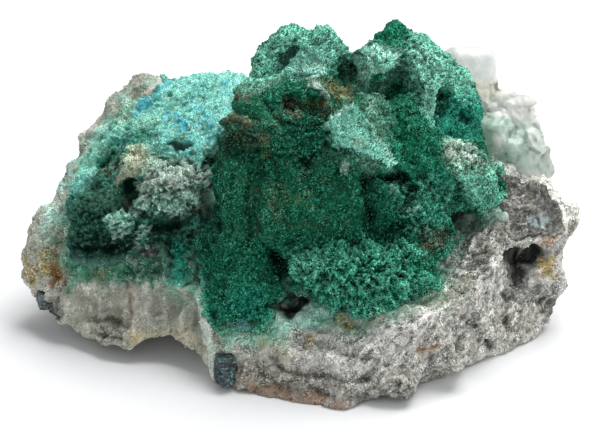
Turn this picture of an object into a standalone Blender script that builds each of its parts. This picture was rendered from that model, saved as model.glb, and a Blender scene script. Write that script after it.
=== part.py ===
"""Brochantite specimen: green crusts and a lobed mass on a quartz rock with galena and quartz crystals."""

import math

import bmesh
import bpy
from mathutils import Euler, Matrix, Vector, noise

# Scale, and the leaning frame that shapes are placed in
MM = 0.001
LEAN = math.radians(25.0)
FLOOR_RISE = 15.83

# Room left between touching pieces, and the height of the flat base cut, in mm
GAP = 0.30
BASE_CUT = 0.40

# Skin resolution before thinning, in mm
ROCK_VOXEL = 0.75
GREEN_VOXEL = 0.55
ROOM_VOXEL = 0.50

# Extra swelling of a room, which makes up for its rounding
ROOM_SPARE = 0.12

# Triangles left in each skin
ROCK_FACES = 3000
MASS_FACES = 3000
CRUST_FACES = 1500

# Relief layers of each skin: size, height and seed
ROCK_RELIEF = ((13.0, 1.1, 3.1), (5.0, 0.7, 8.4), (2.4, 0.4, 5.5))
MASS_RELIEF = ((8.0, 0.4, 12.7), (3.6, 0.4, 2.9), (1.9, 0.35, 7.7))
CRUST_RELIEF = ((8.0, 0.6, 5.1), (3.6, 0.6, 9.3), (1.9, 0.35, 1.2))

# Lumps: place across, away and up, radii, and turn in degrees
ROCK_LUMPS = (
    # knobs along the left rim
    ((-20.6, 13.2, 15.5), (2.6, 3.0, 2.6), (0, 0, 0)),
    ((-23.8, 12.2, 13.2), (2.4, 2.5, 2.8), (0, 0, 0)),
    ((-25.9, 10.8, 9.2), (2.5, 2.5, 2.8), (0, 0, 0)),
    ((-28.2, 9.5, 4.6), (2.6, 2.6, 2.9), (0, 0, 0)),
    ((-31.8, 7.5, -1.8), (3.0, 3.2, 3.0), (0, 0, 0)),
    ((-32.9, 6.0, -6.4), (3.0, 3.6, 4.5), (0, 0, 0)),
    ((-29.2, 3.0, -10.6), (3.6, 3.2, 3.0), (0, 0, 0)),
    ((-24.8, -0.4, -14.1), (2.8, 2.6, 2.4), (0, 0, 0)),
    # pale blade beside the front galena
    ((-11.9, -6.8, -14.6), (0.9, 2.4, 6.2), (0, -14, 0)),
    # right tip
    ((33.1, 5.0, -0.3), (2.8, 3.0, 2.6), (0, 0, 0)),
    ((30.7, 7.0, 2.6), (2.3, 2.8, 2.4), (0, 0, 0)),
    ((31.3, 4.6, -5.2), (2.3, 3.0, 2.8), (0, 0, 0)),
    ((31.6, 4.0, -8.6), (2.5, 3.0, 2.4), (0, 0, 0)),
    ((30.6, 4.5, -12.6), (2.4, 2.8, 2.2), (0, 0, 0)),
    # foot of the front block
    ((10.8, -12.4, -20.8), (4.0, 3.0, 2.0), (0, 0, 0)),
    ((18.6, -9.4, -18.1), (2.4, 2.6, 1.9), (0, 0, 0)),
    # pale ridge across the front block
    ((22.0, -7.6, -8.4), (4.6, 1.8, 1.1), (0, -42, 0)),
    ((12.0, -12.2, -13.6), (5.2, 1.8, 1.4), (0, -20, 0)),
)
MASS_LUMPS = (
    # dome
    ((2.0, -1.0, 2.0), (12.2, 9.6, 12.0), (0, 0, 0)),
    # lower left lobe
    ((-7.4, -2.6, -6.0), (5.4, 6.2, 9.6), (0, 8, 0)),
    ((-6.9, -6.8, -11.0), (5.2, 4.8, 5.6), (0, 0, 0)),
    # frilly lobe
    ((3.2, -9.6, -7.4), (4.8, 5.2, 3.9), (0, -16, 0)),
    ((8.6, -10.0, -8.0), (5.4, 5.2, 4.4), (0, 0, 0)),
    ((13.4, -7.4, -6.8), (3.6, 4.4, 3.6), (0, 0, 0)),
    # right slope
    ((13.5, -1.6, 6.4), (6.5, 6.4, 9.0), (0, 0, 0)),
    ((14.4, -6.2, 1.6), (1.6, 3.0, 3.6), (0, 14, 0)),
    ((15.4, -4.0, -2.6), (3.6, 4.6, 3.8), (0, 0, 0)),
    ((21.6, -0.6, 3.6), (4.8, 3.6, 3.4), (0, 14, 0)),
    ((19.6, 1.5, 8.6), (4.0, 5.0, 3.6), (0, 24, 0)),
    ((20.6, 3.0, 12.6), (2.6, 4.0, 3.0), (0, 0, 0)),
    # left peak
    ((-1.0, 0.8, 20.0), (3.5, 4.4, 4.0), (0, 0, 0)),
    ((-4.1, 1.4, 17.2), (2.5, 4.2, 4.1), (0, 0, 0)),
    ((2.8, -0.6, 19.8), (2.9, 3.8, 3.7), (0, 0, 0)),
    ((1.8, -3.4, 16.6), (1.9, 2.6, 1.6), (0, 0, 0)),
    # saddle
    ((5.4, 3.0, 14.6), (4.6, 5.0, 5.0), (0, 0, 0)),
    ((6.8, 4.0, 17.0), (4.4, 3.6, 3.4), (0, 0, 0)),
    ((12.6, 5.0, 14.0), (6.0, 4.6, 6.0), (0, 0, 0)),
    # right peak
    ((9.2, -1.8, 19.2), (3.4, 3.4, 2.6), (0, -6, 0)),
    ((11.5, 2.2, 20.5), (2.2, 3.2, 3.8), (0, -10, 0)),
    ((14.7, 0.4, 19.8), (3.0, 4.0, 3.3), (0, 0, 0)),
    ((16.8, 0.2, 17.4), (3.1, 4.4, 4.2), (0, 0, 0)),
    ((19.9, 2.4, 16.4), (2.0, 3.4, 2.7), (0, 0, 0)),
    # knob under the pale lump, and the ribs of the front face
    ((6.0, -10.6, 6.6), (2.6, 2.4, 1.8), (0, 10, 0)),
    ((-8.2, -6.4, 3.4), (2.2, 2.8, 5.2), (0, 4, 0)),
    ((-3.6, -8.2, 1.2), (1.6, 2.6, 5.6), (0, -4, 0)),
    ((10.8, -8.8, 1.6), (2.0, 2.6, 2.8), (0, -18, 0)),
)
CRUST_LUMPS = (
    # dark green front of the left mass
    ((-24.6, 1.6, 0.6), (4.9, 3.8, 5.4), (0, 18, 0)),
    ((-18.0, 0.2, -3.0), (6.8, 4.0, 4.2), (0, 0, 0)),
    ((-25.2, 1.2, -4.2), (4.4, 3.2, 3.0), (0, 0, 0)),
    ((-14.2, -0.8, -2.4), (2.6, 3.4, 4.4), (0, 0, 0)),
    ((-21.6, 4.4, 8.4), (3.6, 3.8, 3.0), (0, 0, 0)),
    # beige block and frilly bands
    ((-20.4, -1.4, 6.6), (2.3, 3.2, 2.1), (0, 0, 0)),
    ((-16.2, -2.2, 3.2), (5.2, 3.4, 2.4), (0, -14, 0)),
    ((-12.9, -2.0, 4.6), (2.4, 3.2, 1.6), (0, -14, 0)),
    ((-19.4, -1.8, 6.0), (2.2, 2.8, 1.8), (0, -30, 0)),
    ((-22.6, -2.8, -1.2), (1.9, 2.2, 1.5), (0, 20, 0)),
    # turquoise lumps
    ((-13.0, 1.6, 7.2), (2.2, 3.0, 1.8), (0, 0, 0)),
    ((-15.0, -3.4, -4.6), (1.6, 2.0, 1.6), (0, 0, 0)),
    ((-15.0, -4.0, -7.0), (1.8, 2.2, 1.8), (0, 0, 0)),
)

# Hollows, in the same form as lumps
ROCK_HOLLOWS = (
    ((28.0, -4.6, -6.8), (2.6, 3.4, 2.8), (0, 20, 0)),
    ((22.4, -8.6, -13.4), (1.8, 1.6, 1.3), (0, 0, 0)),
    ((35.4, 3.0, -5.4), (1.5, 5.0, 1.0), (0, 0, 0)),
    # arch under the left foot, and the rise of the front edge
    ((-17.4, 0.0, -17.2), (2.9, 9.0, 1.9), (0, 0, 0)),
    ((-8.2, -8.0, -23.0), (4.2, 9.0, 1.9), (0, 14, 0)),
    ((-18.6, -4.4, -10.6), (4.6, 1.8, 2.6), (0, 0, 0)),
)
MASS_HOLLOWS = (
    # slit under the left peak
    ((-2.1, -4.0, 19.3), (2.9, 3.4, 0.8), (0, -44, 0)),
    # valley between the peaks and the channel below it
    ((6.0, -4.2, 17.7), (1.9, 4.6, 2.3), (0, 20, 0)),
    ((9.2, -6.6, 16.1), (4.6, 4.2, 0.9), (0, -28, 0)),
    # notch between the plates of the ledge, and the recess behind and below it
    ((-10.2, -8.4, 12.9), (3.0, 3.4, 0.5), (0, 0, 0)),
    ((-1.2, -9.8, 13.7), (1.6, 3.2, 1.1), (0, 0, 0)),
    ((-5.6, -12.4, 8.4), (5.4, 3.0, 0.9), (0, 0, 0)),
    # pockets on the right
    ((18.3, -3.6, 13.6), (0.8, 2.8, 2.2), (0, -8, 0)),
    ((20.8, -3.2, 10.9), (1.7, 2.8, 1.2), (0, 0, 0)),
    ((11.4, -10.2, 4.7), (2.8, 2.8, 0.8), (0, 4, 0)),
    ((8.4, -11.4, 2.4), (0.6, 2.4, 2.9), (0, 0, 0)),
    ((13.3, -9.0, 1.6), (0.6, 2.2, 2.4), (0, 24, 0)),
    ((0.8, -11.4, 6.8), (1.5, 2.6, 0.9), (0, 0, 0)),
    # undercut beside the frilly lobe and the hole below it
    ((-2.6, -10.6, -5.8), (2.4, 4.2, 1.7), (0, 40, 0)),
    ((-0.8, -11.0, -10.8), (2.3, 3.4, 1.4), (0, 10, 0)),
    ((6.6, -14.8, -4.8), (1.7, 2.2, 0.8), (0, 0, 0)),
)
CRUST_HOLLOWS = (
    ((-15.2, 0.6, 8.7), (1.4, 3.0, 0.8), (0, 0, 0)),
    ((-21.4, -2.8, 3.0), (1.2, 2.8, 1.8), (0, 10, 0)),
    ((-16.4, -4.8, -1.2), (3.2, 3.0, 1.1), (0, -10, 0)),
    ((-21.2, -3.6, -4.4), (4.6, 2.2, 1.1), (0, 0, 0)),
)

# Chunks: the corners of convex bodies, across, away and up
ROCK_CHUNKS = (
    # front block with the granular face
    (
        (-11.4, -7.4, -20.2), (-8.0, -9.0, -21.8), (-1.0, -12.5, -23.8), (4.5, -15.0, -24.4),
        (12.0, -11.8, -22.8), (20.6, -5.6, -20.0), (27.0, 0.4, -17.4), (31.5, 5.0, -14.8),
        (33.4, 4.0, -9.8), (26.0, -5.4, -4.4), (16.0, -11.2, -12.0), (8.0, -14.0, -16.5),
        (-8.5, -9.0, -15.8), (-12.8, -5.0, -9.0), (10.0, 6.0, 2.0), (26.0, 8.0, 4.0),
        (30.0, 20.0, -8.0), (-8.0, 20.0, -8.0),
    ),
    # right end
    (
        (24.0, -4.0, -3.0), (30.0, -1.6, -4.4), (33.8, 3.0, -3.6), (34.6, 5.0, 0.8),
        (32.0, 7.5, 4.2), (30.2, 8.4, 7.2), (26.0, 9.0, 8.0), (20.0, 10.0, 11.0),
        (31.6, 20.0, 0.0), (32.6, 18.0, -7.0), (18.0, 22.0, 4.0), (20.0, 0.0, -6.0),
        (25.0, -1.0, 4.6),
    ),
    # left slab
    (
        (-34.2, 8.0, -9.4), (-34.4, 8.0, -5.0), (-32.4, 8.6, 0.4), (-31.4, 3.6, -12.4),
        (-26.2, -2.2, -16.6), (-21.0, -4.2, -17.6), (-16.6, -4.2, -15.6), (-12.4, -6.8, -18.8),
        (-11.0, -6.0, -10.0), (-26.0, -1.4, -7.0), (-29.0, 9.5, 5.0), (-26.4, 12.0, 10.2),
        (-21.8, 14.0, 16.0), (-18.5, 14.5, 16.8), (-8.0, 12.0, 14.0), (-8.0, 2.0, 4.0),
        (-24.0, 2.0, 3.0),
    ),
)

# Back of the rock: corners across, back and up in the upright frame
ROCK_BACK = (
    (-32.0, 12.0, 8.0), (-25.0, 15.0, 1.5), (-18.0, 17.0, 0.0), (0.0, 20.0, 0.0), (18.0, 19.0, 0.0),
    (28.0, 13.0, 0.0), (30.0, 6.0, 3.0), (31.0, 12.0, 12.0), (26.0, 17.0, 18.0), (14.0, 19.5, 22.0),
    (0.0, 21.0, 22.0), (-12.0, 20.0, 23.0), (-21.0, 18.5, 21.5), (-27.0, 15.0, 16.0), (0.0, 4.0, 20.0),
    (16.0, 6.0, 20.0), (-20.0, 4.0, 4.0), (14.0, -4.0, 2.0),
)
CRUST_CHUNKS = (
    # inclined crust behind the left mass
    (
        (-28.4, 6.4, 4.8), (-24.8, 9.4, 11.6), (-21.0, 13.0, 17.2), (-17.5, 14.0, 18.7),
        (-12.0, 14.2, 18.9), (-4.0, 13.0, 18.8), (-4.0, 2.0, 13.0), (-11.0, 1.0, 9.0),
        (-19.0, 2.6, 9.4), (-25.0, 2.0, 3.0), (-24.0, 10.0, 5.0), (-8.0, 8.0, 3.0),
        (-16.0, 14.0, 12.0),
    ),
    # band down the left edge
    (
        (-29.0, 6.0, 4.4), (-26.4, 6.0, 8.6), (-23.6, 6.0, 10.4), (-24.0, 1.4, 5.0),
        (-29.8, 4.2, -3.0), (-27.0, 0.4, -3.0), (-27.0, 9.0, 0.0),
    ),
)
MASS_CHUNKS = (
    # front face below the ledge
    (
        (-10.8, -2.6, 10.4), (-11.0, -1.0, -1.0), (-9.6, -6.2, 9.6), (-10.2, -5.0, -2.0),
        (-3.0, -8.6, 8.8), (-3.4, -8.8, -3.0), (3.0, -10.4, 6.6), (4.0, -10.8, -1.0),
        (9.0, -10.0, 2.0), (14.0, -7.4, 4.0), (6.0, 0.0, 14.0), (6.0, 4.0, -4.0),
    ),
    # upper plate of the ledge
    (
        (-9.8, -6.6, 14.4), (-9.2, -5.0, 15.8), (-4.4, -3.4, 17.2), (1.6, -3.0, 17.4),
        (-7.4, -9.6, 13.4), (-3.6, -10.2, 13.8), (0.6, -8.6, 15.4), (-4.0, -2.0, 12.0),
        (2.0, -2.0, 12.0),
    ),
    # lower lip of the ledge
    (
        (-10.9, -6.0, 11.4), (-10.2, -7.0, 12.4), (-7.0, -11.0, 12.0), (-2.0, -12.0, 12.2),
        (-10.2, -8.0, 10.2), (-6.0, -12.0, 9.6), (0.0, -12.4, 10.2), (2.4, -10.4, 12.6),
        (0.0, -4.0, 12.0), (0.0, -4.0, 8.0),
    ),
    # folds rising to the right below the channel
    (
        (-2.0, -12.0, 9.4), (3.2, -12.2, 12.0), (7.4, -9.0, 15.6), (1.0, -9.0, 12.8),
        (0.0, -6.0, 9.0), (6.0, -6.0, 11.0), (4.0, -12.0, 9.0),
    ),
    # dark tooth of the right peak
    (
        (9.2, 0.0, 20.8), (10.0, 1.0, 23.0), (11.2, 2.0, 25.1), (12.9, 2.0, 24.6), (14.4, 1.4, 24.0),
        (15.0, 3.0, 21.0), (10.0, 4.4, 21.0), (13.2, -1.0, 21.0), (12.0, 5.0, 22.4),
    ),
    # pale lump in front: ridge between a broad left facet and a narrow right one
    (
        (2.6, -13.8, 11.5), (6.6, -14.6, 14.3), (9.3, -15.9, 10.2), (12.6, -13.8, 5.8),
        (9.4, -15.0, 5.4), (3.8, -15.2, 7.9), (8.2, -10.4, 15.8), (10.6, -9.4, 15.4),
        (12.4, -9.6, 11.6), (12.8, -10.4, 8.0), (3.0, -7.0, 10.0), (6.0, -6.0, 13.0), (8.0, -7.0, 6.5),
    ),
    # turquoise block of the right peak
    (
        (13.0, -4.0, 17.8), (15.0, -4.4, 20.8), (18.4, -3.0, 20.0), (19.8, -0.6, 19.6),
        (18.6, -3.6, 15.4), (17.6, -5.4, 11.8), (14.6, -4.0, 14.6), (15.0, 1.0, 15.0),
        (18.0, 1.0, 15.0),
    ),
    # speckled band on the far right
    (
        (17.6, -2.6, 9.8), (20.6, -2.4, 10.2), (26.2, 0.0, 5.6), (26.0, -1.2, 2.6),
        (22.0, -5.4, 1.6), (18.4, -5.4, 5.2), (20.0, 4.0, 4.0), (24.0, 4.0, 4.0),
    ),
)

# Blocks: centre across, away and up, edge lengths, upright turn in degrees, and edge rounding
QUARTZ_BLOCKS = (
    ((21.6, 9.8, 15.9), (6.2, 5.6, 10.8), (-20, 3, 10), 0.9),
    ((25.6, 9.0, 12.5), (3.2, 3.6, 6.4), (-24, 6, 12), 0.4),
    ((28.4, 9.4, 11.2), (3.6, 4.2, 7.6), (-20, -14, 24), 0.5),
    ((28.4, 7.8, 7.4), (4.8, 4.6, 6.6), (-10, -18, 34), 0.5),
    ((24.8, 7.6, 9.4), (4.4, 4.4, 6.4), (8, -14, -30), 0.5),
)
GALENA_FRONT_BLOCKS = (
    ((-9.2, -9.7, -18.3), (2.1, 2.6, 2.0), (0, 4, 12), 0.0),
    ((-9.3, -9.8, -19.7), (1.8, 2.5, 1.7), (0, -6, 20), 0.0),
)
GALENA_LEFT_BLOCKS = (
    ((-31.7, 3.6, -10.7), (2.4, 2.2, 1.7), (10, 12, 20), 0.0),
    ((-30.2, 2.5, -11.6), (1.9, 2.1, 1.5), (0, 20, -14), 0.0),
)
GALENA_RIGHT_BLOCKS = (
    ((25.7, 0.1, 2.4), (3.8, 2.4, 4.6), (-44, 10, 26), 0.0),
    ((28.2, 0.9, 1.5), (4.2, 2.4, 4.0), (-38, -6, 32), 0.0),
    ((30.6, 1.6, -0.7), (3.6, 2.4, 3.8), (-40, 12, 38), 0.0),
    ((27.2, -0.8, -1.2), (4.2, 2.4, 3.4), (-44, -8, 24), 0.0),
    ((29.3, 1.9, 2.4), (3.2, 2.4, 2.8), (-36, 20, 36), 0.0),
)


def seen(place):
    """Turns a place in the leaning frame into the upright frame, both in mm."""
    across, away, up = place
    return Vector((
        across,
        away * math.cos(LEAN) + up * math.sin(LEAN),
        up * math.cos(LEAN) - away * math.sin(LEAN) + FLOOR_RISE,
    ))


def turned(degrees):
    return Euler([math.radians(angle) for angle in degrees]).to_matrix().to_4x4()


def lump_matrix(place, radii, turn):
    squash = Matrix.Diagonal((*radii, 1.0))
    lean = Matrix.Rotation(-LEAN, 4, "X")
    return Matrix.Translation(seen(place)) @ lean @ turned(turn) @ squash


def add_lump(body, place, radii, turn):
    bmesh.ops.create_icosphere(body, subdivisions=3, radius=1.0, matrix=lump_matrix(place, radii, turn))


def add_chunk(body, corners):
    """Adds the convex hull of upright corners."""
    made = [body.verts.new(corner) for corner in corners]
    hull = bmesh.ops.convex_hull(body, input=made, use_existing_faces=False)
    inner = hull["geom_interior"] + hull["geom_unused"]
    spare = {item for item in inner if isinstance(item, bmesh.types.BMVert)}
    bmesh.ops.delete(body, geom=list(spare), context="VERTS")


def to_object(body, name):
    """Makes an object of a bmesh and frees the bmesh."""
    mesh = bpy.data.meshes.new(name)
    body.normal_update()
    body.to_mesh(mesh)
    body.free()
    made = bpy.data.objects.new(name, mesh)
    bpy.context.scene.collection.objects.link(made)
    return made


def discard(made):
    mesh = made.data
    bpy.data.objects.remove(made, do_unlink=True)
    bpy.data.meshes.remove(mesh)


def use_modifiers(made):
    """Replaces the mesh of an object by its mesh with the modifiers used."""
    graph = bpy.context.evaluated_depsgraph_get()
    mesh = bpy.data.meshes.new_from_object(made.evaluated_get(graph))
    made.modifiers.clear()
    old = made.data
    made.data = mesh
    bpy.data.meshes.remove(old)


def to_triangles(made):
    body = bmesh.new()
    body.from_mesh(made.data)
    bmesh.ops.triangulate(body, faces=body.faces)
    count = len(body.faces)
    body.to_mesh(made.data)
    body.free()
    return count


def combine(made, other, operation):
    """Joins or cuts a body with another one."""
    change = made.modifiers.new("combine", "BOOLEAN")
    change.operation = operation
    change.solver = "EXACT"
    change.object = other
    use_modifiers(made)
    to_triangles(made)


def melt(made, voxel, rounds):
    """Melts overlapping lumps into one skin and softens it."""
    skin = made.modifiers.new("skin", "REMESH")
    skin.mode = "VOXEL"
    skin.voxel_size = voxel
    use_modifiers(made)
    body = bmesh.new()
    body.from_mesh(made.data)
    for _ in range(rounds):
        bmesh.ops.smooth_vert(
            body, verts=body.verts, factor=0.5, use_axis_x=True, use_axis_y=True, use_axis_z=True
        )
    body.to_mesh(made.data)
    body.free()


def hollow_out(made, hollows):
    """Cuts ellipsoid hollows out of a body."""
    for place, radii, turn in hollows:
        body = bmesh.new()
        add_lump(body, place, radii, turn)
        cutter = to_object(body, "hollow")
        cutter.hide_render = True
        cutter.display_type = "WIRE"
        combine(made, cutter, "DIFFERENCE")
        discard(cutter)


def roughen(made, layers):
    """Moves the skin along its normals by layered noise."""
    body = bmesh.new()
    body.from_mesh(made.data)
    body.normal_update()
    shifts = []
    for vert in body.verts:
        total = 0.0
        for size, height, seed in layers:
            spot = vert.co / size + Vector((seed, seed * 0.37, -seed * 0.71))
            total += height * noise.fractal(spot, 0.8, 2.1, 3, noise_basis="PERLIN_ORIGINAL")
        shifts.append(vert.normal * total)
    for vert, shift in zip(body.verts, shifts):
        vert.co += shift
    body.to_mesh(made.data)
    body.free()


def thin_out(made, faces):
    """Brings the triangle count down to the number of faces."""
    count = to_triangles(made)
    if count > faces:
        fewer = made.modifiers.new("fewer", "DECIMATE")
        fewer.ratio = faces / count
        fewer.use_collapse_triangulate = True
        use_modifiers(made)


def keep_largest(made):
    """Drops every loose island but the largest."""
    body = bmesh.new()
    body.from_mesh(made.data)
    left = set(body.verts)
    islands = []
    while left:
        start = left.pop()
        island = [start]
        ahead = [start]
        while ahead:
            for edge in ahead.pop().link_edges:
                for vert in edge.verts:
                    if vert in left:
                        left.discard(vert)
                        island.append(vert)
                        ahead.append(vert)
        islands.append(island)
    islands.sort(key=len, reverse=True)
    for island in islands[1:]:
        bmesh.ops.delete(body, geom=island, context="VERTS")
    body.to_mesh(made.data)
    body.free()


def swollen_skin(made, by, voxel, faces):
    """Copies a lumpy body with its skin pushed outwards, for cutting a neighbour clear of it."""
    body = bmesh.new()
    body.from_mesh(made.data)
    body.normal_update()
    shifts = [vert.normal * by for vert in body.verts]
    for vert, shift in zip(body.verts, shifts):
        vert.co += shift
    room = to_object(body, made.name + "_room")
    melt(room, voxel, 0)
    keep_largest(room)
    thin_out(room, faces)
    return room


def clear_of(made, room):
    """Cuts a body clear of the room that a neighbour needs."""
    room.hide_render = True
    room.display_type = "WIRE"
    combine(made, room, "DIFFERENCE")
    keep_largest(made)


def cut_flat_base(made, height):
    """Cuts the underside off at a height so that the body rests on a plane."""
    body = bmesh.new()
    body.from_mesh(made.data)
    parts = list(body.verts) + list(body.edges) + list(body.faces)
    bmesh.ops.bisect_plane(
        body, geom=parts, dist=1e-5, plane_co=(0.0, 0.0, height), plane_no=(0.0, 0.0, -1.0), clear_outer=True
    )
    rim = [edge for edge in body.edges if edge.is_boundary]
    bmesh.ops.holes_fill(body, edges=rim, sides=0)
    body.normal_update()
    body.to_mesh(made.data)
    body.free()
    keep_largest(made)
    to_triangles(made)


def melted_body(name, lumps, chunks, hollows, voxel, relief):
    """Builds one lumpy body from lumps, chunks and hollows."""
    body = bmesh.new()
    for lump in lumps:
        add_lump(body, *lump)
    for chunk in chunks:
        add_chunk(body, chunk)
    made = to_object(body, name)
    melt(made, voxel, 1)
    hollow_out(made, hollows)
    melt(made, voxel, 2)
    keep_largest(made)
    roughen(made, relief)
    return made


def block_cluster(name, blocks, spare):
    """Builds one flat-faced body from overlapping blocks, each larger by the spare width all round."""
    made = None
    for place, edges, turn, rounding in blocks:
        body = bmesh.new()
        stretch = Matrix.Diagonal((*[edge + 2 * spare for edge in edges], 1.0))
        stand = Matrix.Translation(seen(place)) @ turned(turn)
        bmesh.ops.create_cube(body, size=1.0, matrix=stand @ stretch)
        if rounding > 0.0:
            bmesh.ops.bevel(
                body, geom=body.edges[:], offset=rounding, segments=1, affect="EDGES", profile=0.5
            )
        block = to_object(body, name)
        if made is None:
            made = block
            continue
        combine(made, block, "UNION")
        discard(block)
    body = bmesh.new()
    body.from_mesh(made.data)
    bmesh.ops.dissolve_limit(body, angle_limit=math.radians(0.5), verts=body.verts, edges=body.edges)
    bmesh.ops.triangulate(body, faces=body.faces)
    body.to_mesh(made.data)
    body.free()
    return made


def finish_piece(made, colour, roughness, metallic, transmission):
    """Gives a piece its own surface."""
    surface = bpy.data.materials.new(made.name)
    surface.use_nodes = True
    inputs = surface.node_tree.nodes["Principled BSDF"].inputs
    inputs["Base Color"].default_value = (*colour, 1.0)
    inputs["Roughness"].default_value = roughness
    inputs["Metallic"].default_value = metallic
    inputs["Transmission Weight"].default_value = transmission
    made.data.materials.clear()
    made.data.materials.append(surface)


def settle(pieces):
    """Scales the pieces to metres and stands them with the middle of the base at the origin."""
    corners = [vert.co for made in pieces for vert in made.data.vertices]
    low = [min(co[axis] for co in corners) for axis in range(3)]
    high = [max(co[axis] for co in corners) for axis in range(3)]
    offset = Vector((-(low[0] + high[0]) / 2, -(low[1] + high[1]) / 2, -low[2]))
    for made in pieces:
        made.data.transform(Matrix.Scale(MM, 4) @ Matrix.Translation(offset))
    print("settled by", [round(value, 3) for value in offset])


def main():
    for old in list(bpy.data.objects):
        bpy.data.objects.remove(old, do_unlink=True)
    rock_chunks = [[seen(corner) for corner in chunk] for chunk in ROCK_CHUNKS] + [ROCK_BACK]
    mass_chunks = [[seen(corner) for corner in chunk] for chunk in MASS_CHUNKS]
    crust_chunks = [[seen(corner) for corner in chunk] for chunk in CRUST_CHUNKS]
    rock = melted_body("host_rock", ROCK_LUMPS, rock_chunks, ROCK_HOLLOWS, ROCK_VOXEL, ROCK_RELIEF)
    thin_out(rock, ROCK_FACES)
    mass = melted_body("brochantite_mass", MASS_LUMPS, mass_chunks, MASS_HOLLOWS, GREEN_VOXEL, MASS_RELIEF)
    thin_out(mass, MASS_FACES)
    crust = melted_body(
        "brochantite_crust_left", CRUST_LUMPS, crust_chunks, CRUST_HOLLOWS, GREEN_VOXEL, CRUST_RELIEF
    )
    thin_out(crust, CRUST_FACES)
    clusters = {
        "galena_front": GALENA_FRONT_BLOCKS,
        "galena_left": GALENA_LEFT_BLOCKS,
        "galena_right": GALENA_RIGHT_BLOCKS,
        "quartz_crystals": QUARTZ_BLOCKS,
    }
    grains = [block_cluster(name, blocks, 0.0) for name, blocks in clusters.items()]
    rooms = [block_cluster(name + "_room", blocks, GAP) for name, blocks in clusters.items()]
    cut_flat_base(rock, BASE_CUT)
    for room in rooms:
        clear_of(rock, room)
    rooms.append(swollen_skin(rock, GAP + ROOM_SPARE, ROOM_VOXEL, ROCK_FACES))
    for room in rooms:
        clear_of(mass, room)
    rooms.append(swollen_skin(mass, GAP + ROOM_SPARE, ROOM_VOXEL, MASS_FACES))
    for room in rooms:
        clear_of(crust, room)
    for room in rooms:
        discard(room)
    finish_piece(rock, (0.55, 0.54, 0.50), 0.75, 0.0, 0.0)
    finish_piece(mass, (0.02, 0.22, 0.14), 0.65, 0.0, 0.0)
    finish_piece(crust, (0.25, 0.60, 0.52), 0.75, 0.0, 0.0)
    for grain in grains[:3]:
        finish_piece(grain, (0.10, 0.12, 0.14), 0.35, 0.8, 0.0)
    finish_piece(grains[3], (0.90, 0.90, 0.86), 0.20, 0.0, 0.7)
    settle([rock, mass, crust] + grains)


main()
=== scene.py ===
"""Brochantite specimen dressed for its picture: fine skins, colour zones, crystal grains and stage."""

import math

import bpy
import numpy as np
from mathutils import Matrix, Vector, noise
from mathutils.bvhtree import BVHTree


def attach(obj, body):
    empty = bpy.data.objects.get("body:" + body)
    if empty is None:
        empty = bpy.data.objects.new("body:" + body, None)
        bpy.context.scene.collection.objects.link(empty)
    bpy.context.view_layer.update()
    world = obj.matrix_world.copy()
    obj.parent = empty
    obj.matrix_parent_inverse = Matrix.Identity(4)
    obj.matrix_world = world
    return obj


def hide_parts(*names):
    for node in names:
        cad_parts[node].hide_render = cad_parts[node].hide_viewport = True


MM = 0.001

# The leaning frame: the view looks down by LEAN from REACH mm away. Its middle is FLOOR_RISE mm up, moved by
# SETTLED, the shift in mm that set the middle of the specimen's base at the origin.
LEAN = math.radians(25.0)
REACH = 450.0
FLOOR_RISE = 15.83
SETTLED = np.array((-0.036, 0.603, -0.4))

MASS_VOXEL = 0.25
CRUST_VOXEL = 0.25
ROCK_VOXEL = 0.34
CRYSTAL_VOXEL = 0.22
STEP_VOXEL = 0.13
MASS_GRAINS = 37500
CRUST_GRAINS = 25000
ROCK_GRAINS = 14000

# Pieces count as grown together up to SEAM_NEAR mm apart, and as loose past SEAM_REACH mm
SEAM_NEAR = 0.5
SEAM_REACH = 1.4

# All skins share this noise where they meet, so that their ragged edges fit each other: size in mm, seed
RAGGED = (1.5, 3.3)

# Faces that turn away from the view lose their painted zones between these cosines, from none left to all
TURNED = (-0.7, -0.25)

# Noise that outlines stray by: strength in mm, size in mm, shift, octaves. Lines drift by DRIFT mm, and
# DRIFT_SIZE is the size of that noise.
STRAY = ((0.8, 1.9, 0.4, 3), (0.4, 0.5, 7.7, 1))
DRIFT = 0.35
DRIFT_SIZE = 1.3

# How softly tones, streaks and stains along neighbours end, and how far the stains follow the stray noise
TONE_FADE = 0.3
STREAK_FADE = 0.25
STAIN_EDGE = (0.25, 0.85)
STAIN_STRAY = 0.5

# Stains and specks come in patches: size in mm, shift and octaves of their noise, and its levels from none
# left to all. Veins break up where the stray noise is low.
STAIN_PATCH = (4.5, 9.1, 2)
STAIN_LEVELS = (-0.4, 0.3)
SPECK_PATCH = (1.6, 2.2, 2)
SPECK_LEVELS = (-0.05, 0.45)
VEIN_LEVELS = (-0.5, 0.2)

# How thin the frills' ridges are, their shift, and the levels at which a ridge starts and is whole
RIDGE_THIN = 2.2
RIDGE_SHIFT = 17.0
RIDGE_LEVELS = (0.2, 0.8)

# How strongly the frills' gaps take painted shade, their ridges a paler colour that is partly painted
# highlight, and their tips a painted highlight, and the ridge level that is neither up nor down
GAP_SHARE = 0.86
RIDGE_SHARE = 0.45
TIP_SHARE = 0.2
RIDGE_MIDDLE = 0.45

# Rounds of softening that small and broad relief is measured from, and how deep or high in mm it counts
SMALL_ROUNDS = 5
BROAD_ROUNDS = 45
PIT = (0.0, 0.16)
HOLLOW = (0.05, 0.6)
SWELL = (0.05, 0.5)

# Painted shade in hollows darkens pale skin less: by how much in all, and between which levels of the skin's
# paleness
PALE_SPARED = 0.45
PALE_LEVELS = (0.12, 0.5)

# Relief left next to a neighbour is less by this share, and grit and cover stay inside these limits
TOUCH_CALM = 0.5
GRIT_LIMITS = (0.15, 1.3)
MOST_COVER = 1.2

# Grains grow thinner by these shares in pits and hollows, and AWAY_LEFT is left on the faces turned away
PIT_THIN = 0.9
HOLLOW_THIN = 0.5
AWAY_LEFT = 0.2

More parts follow.
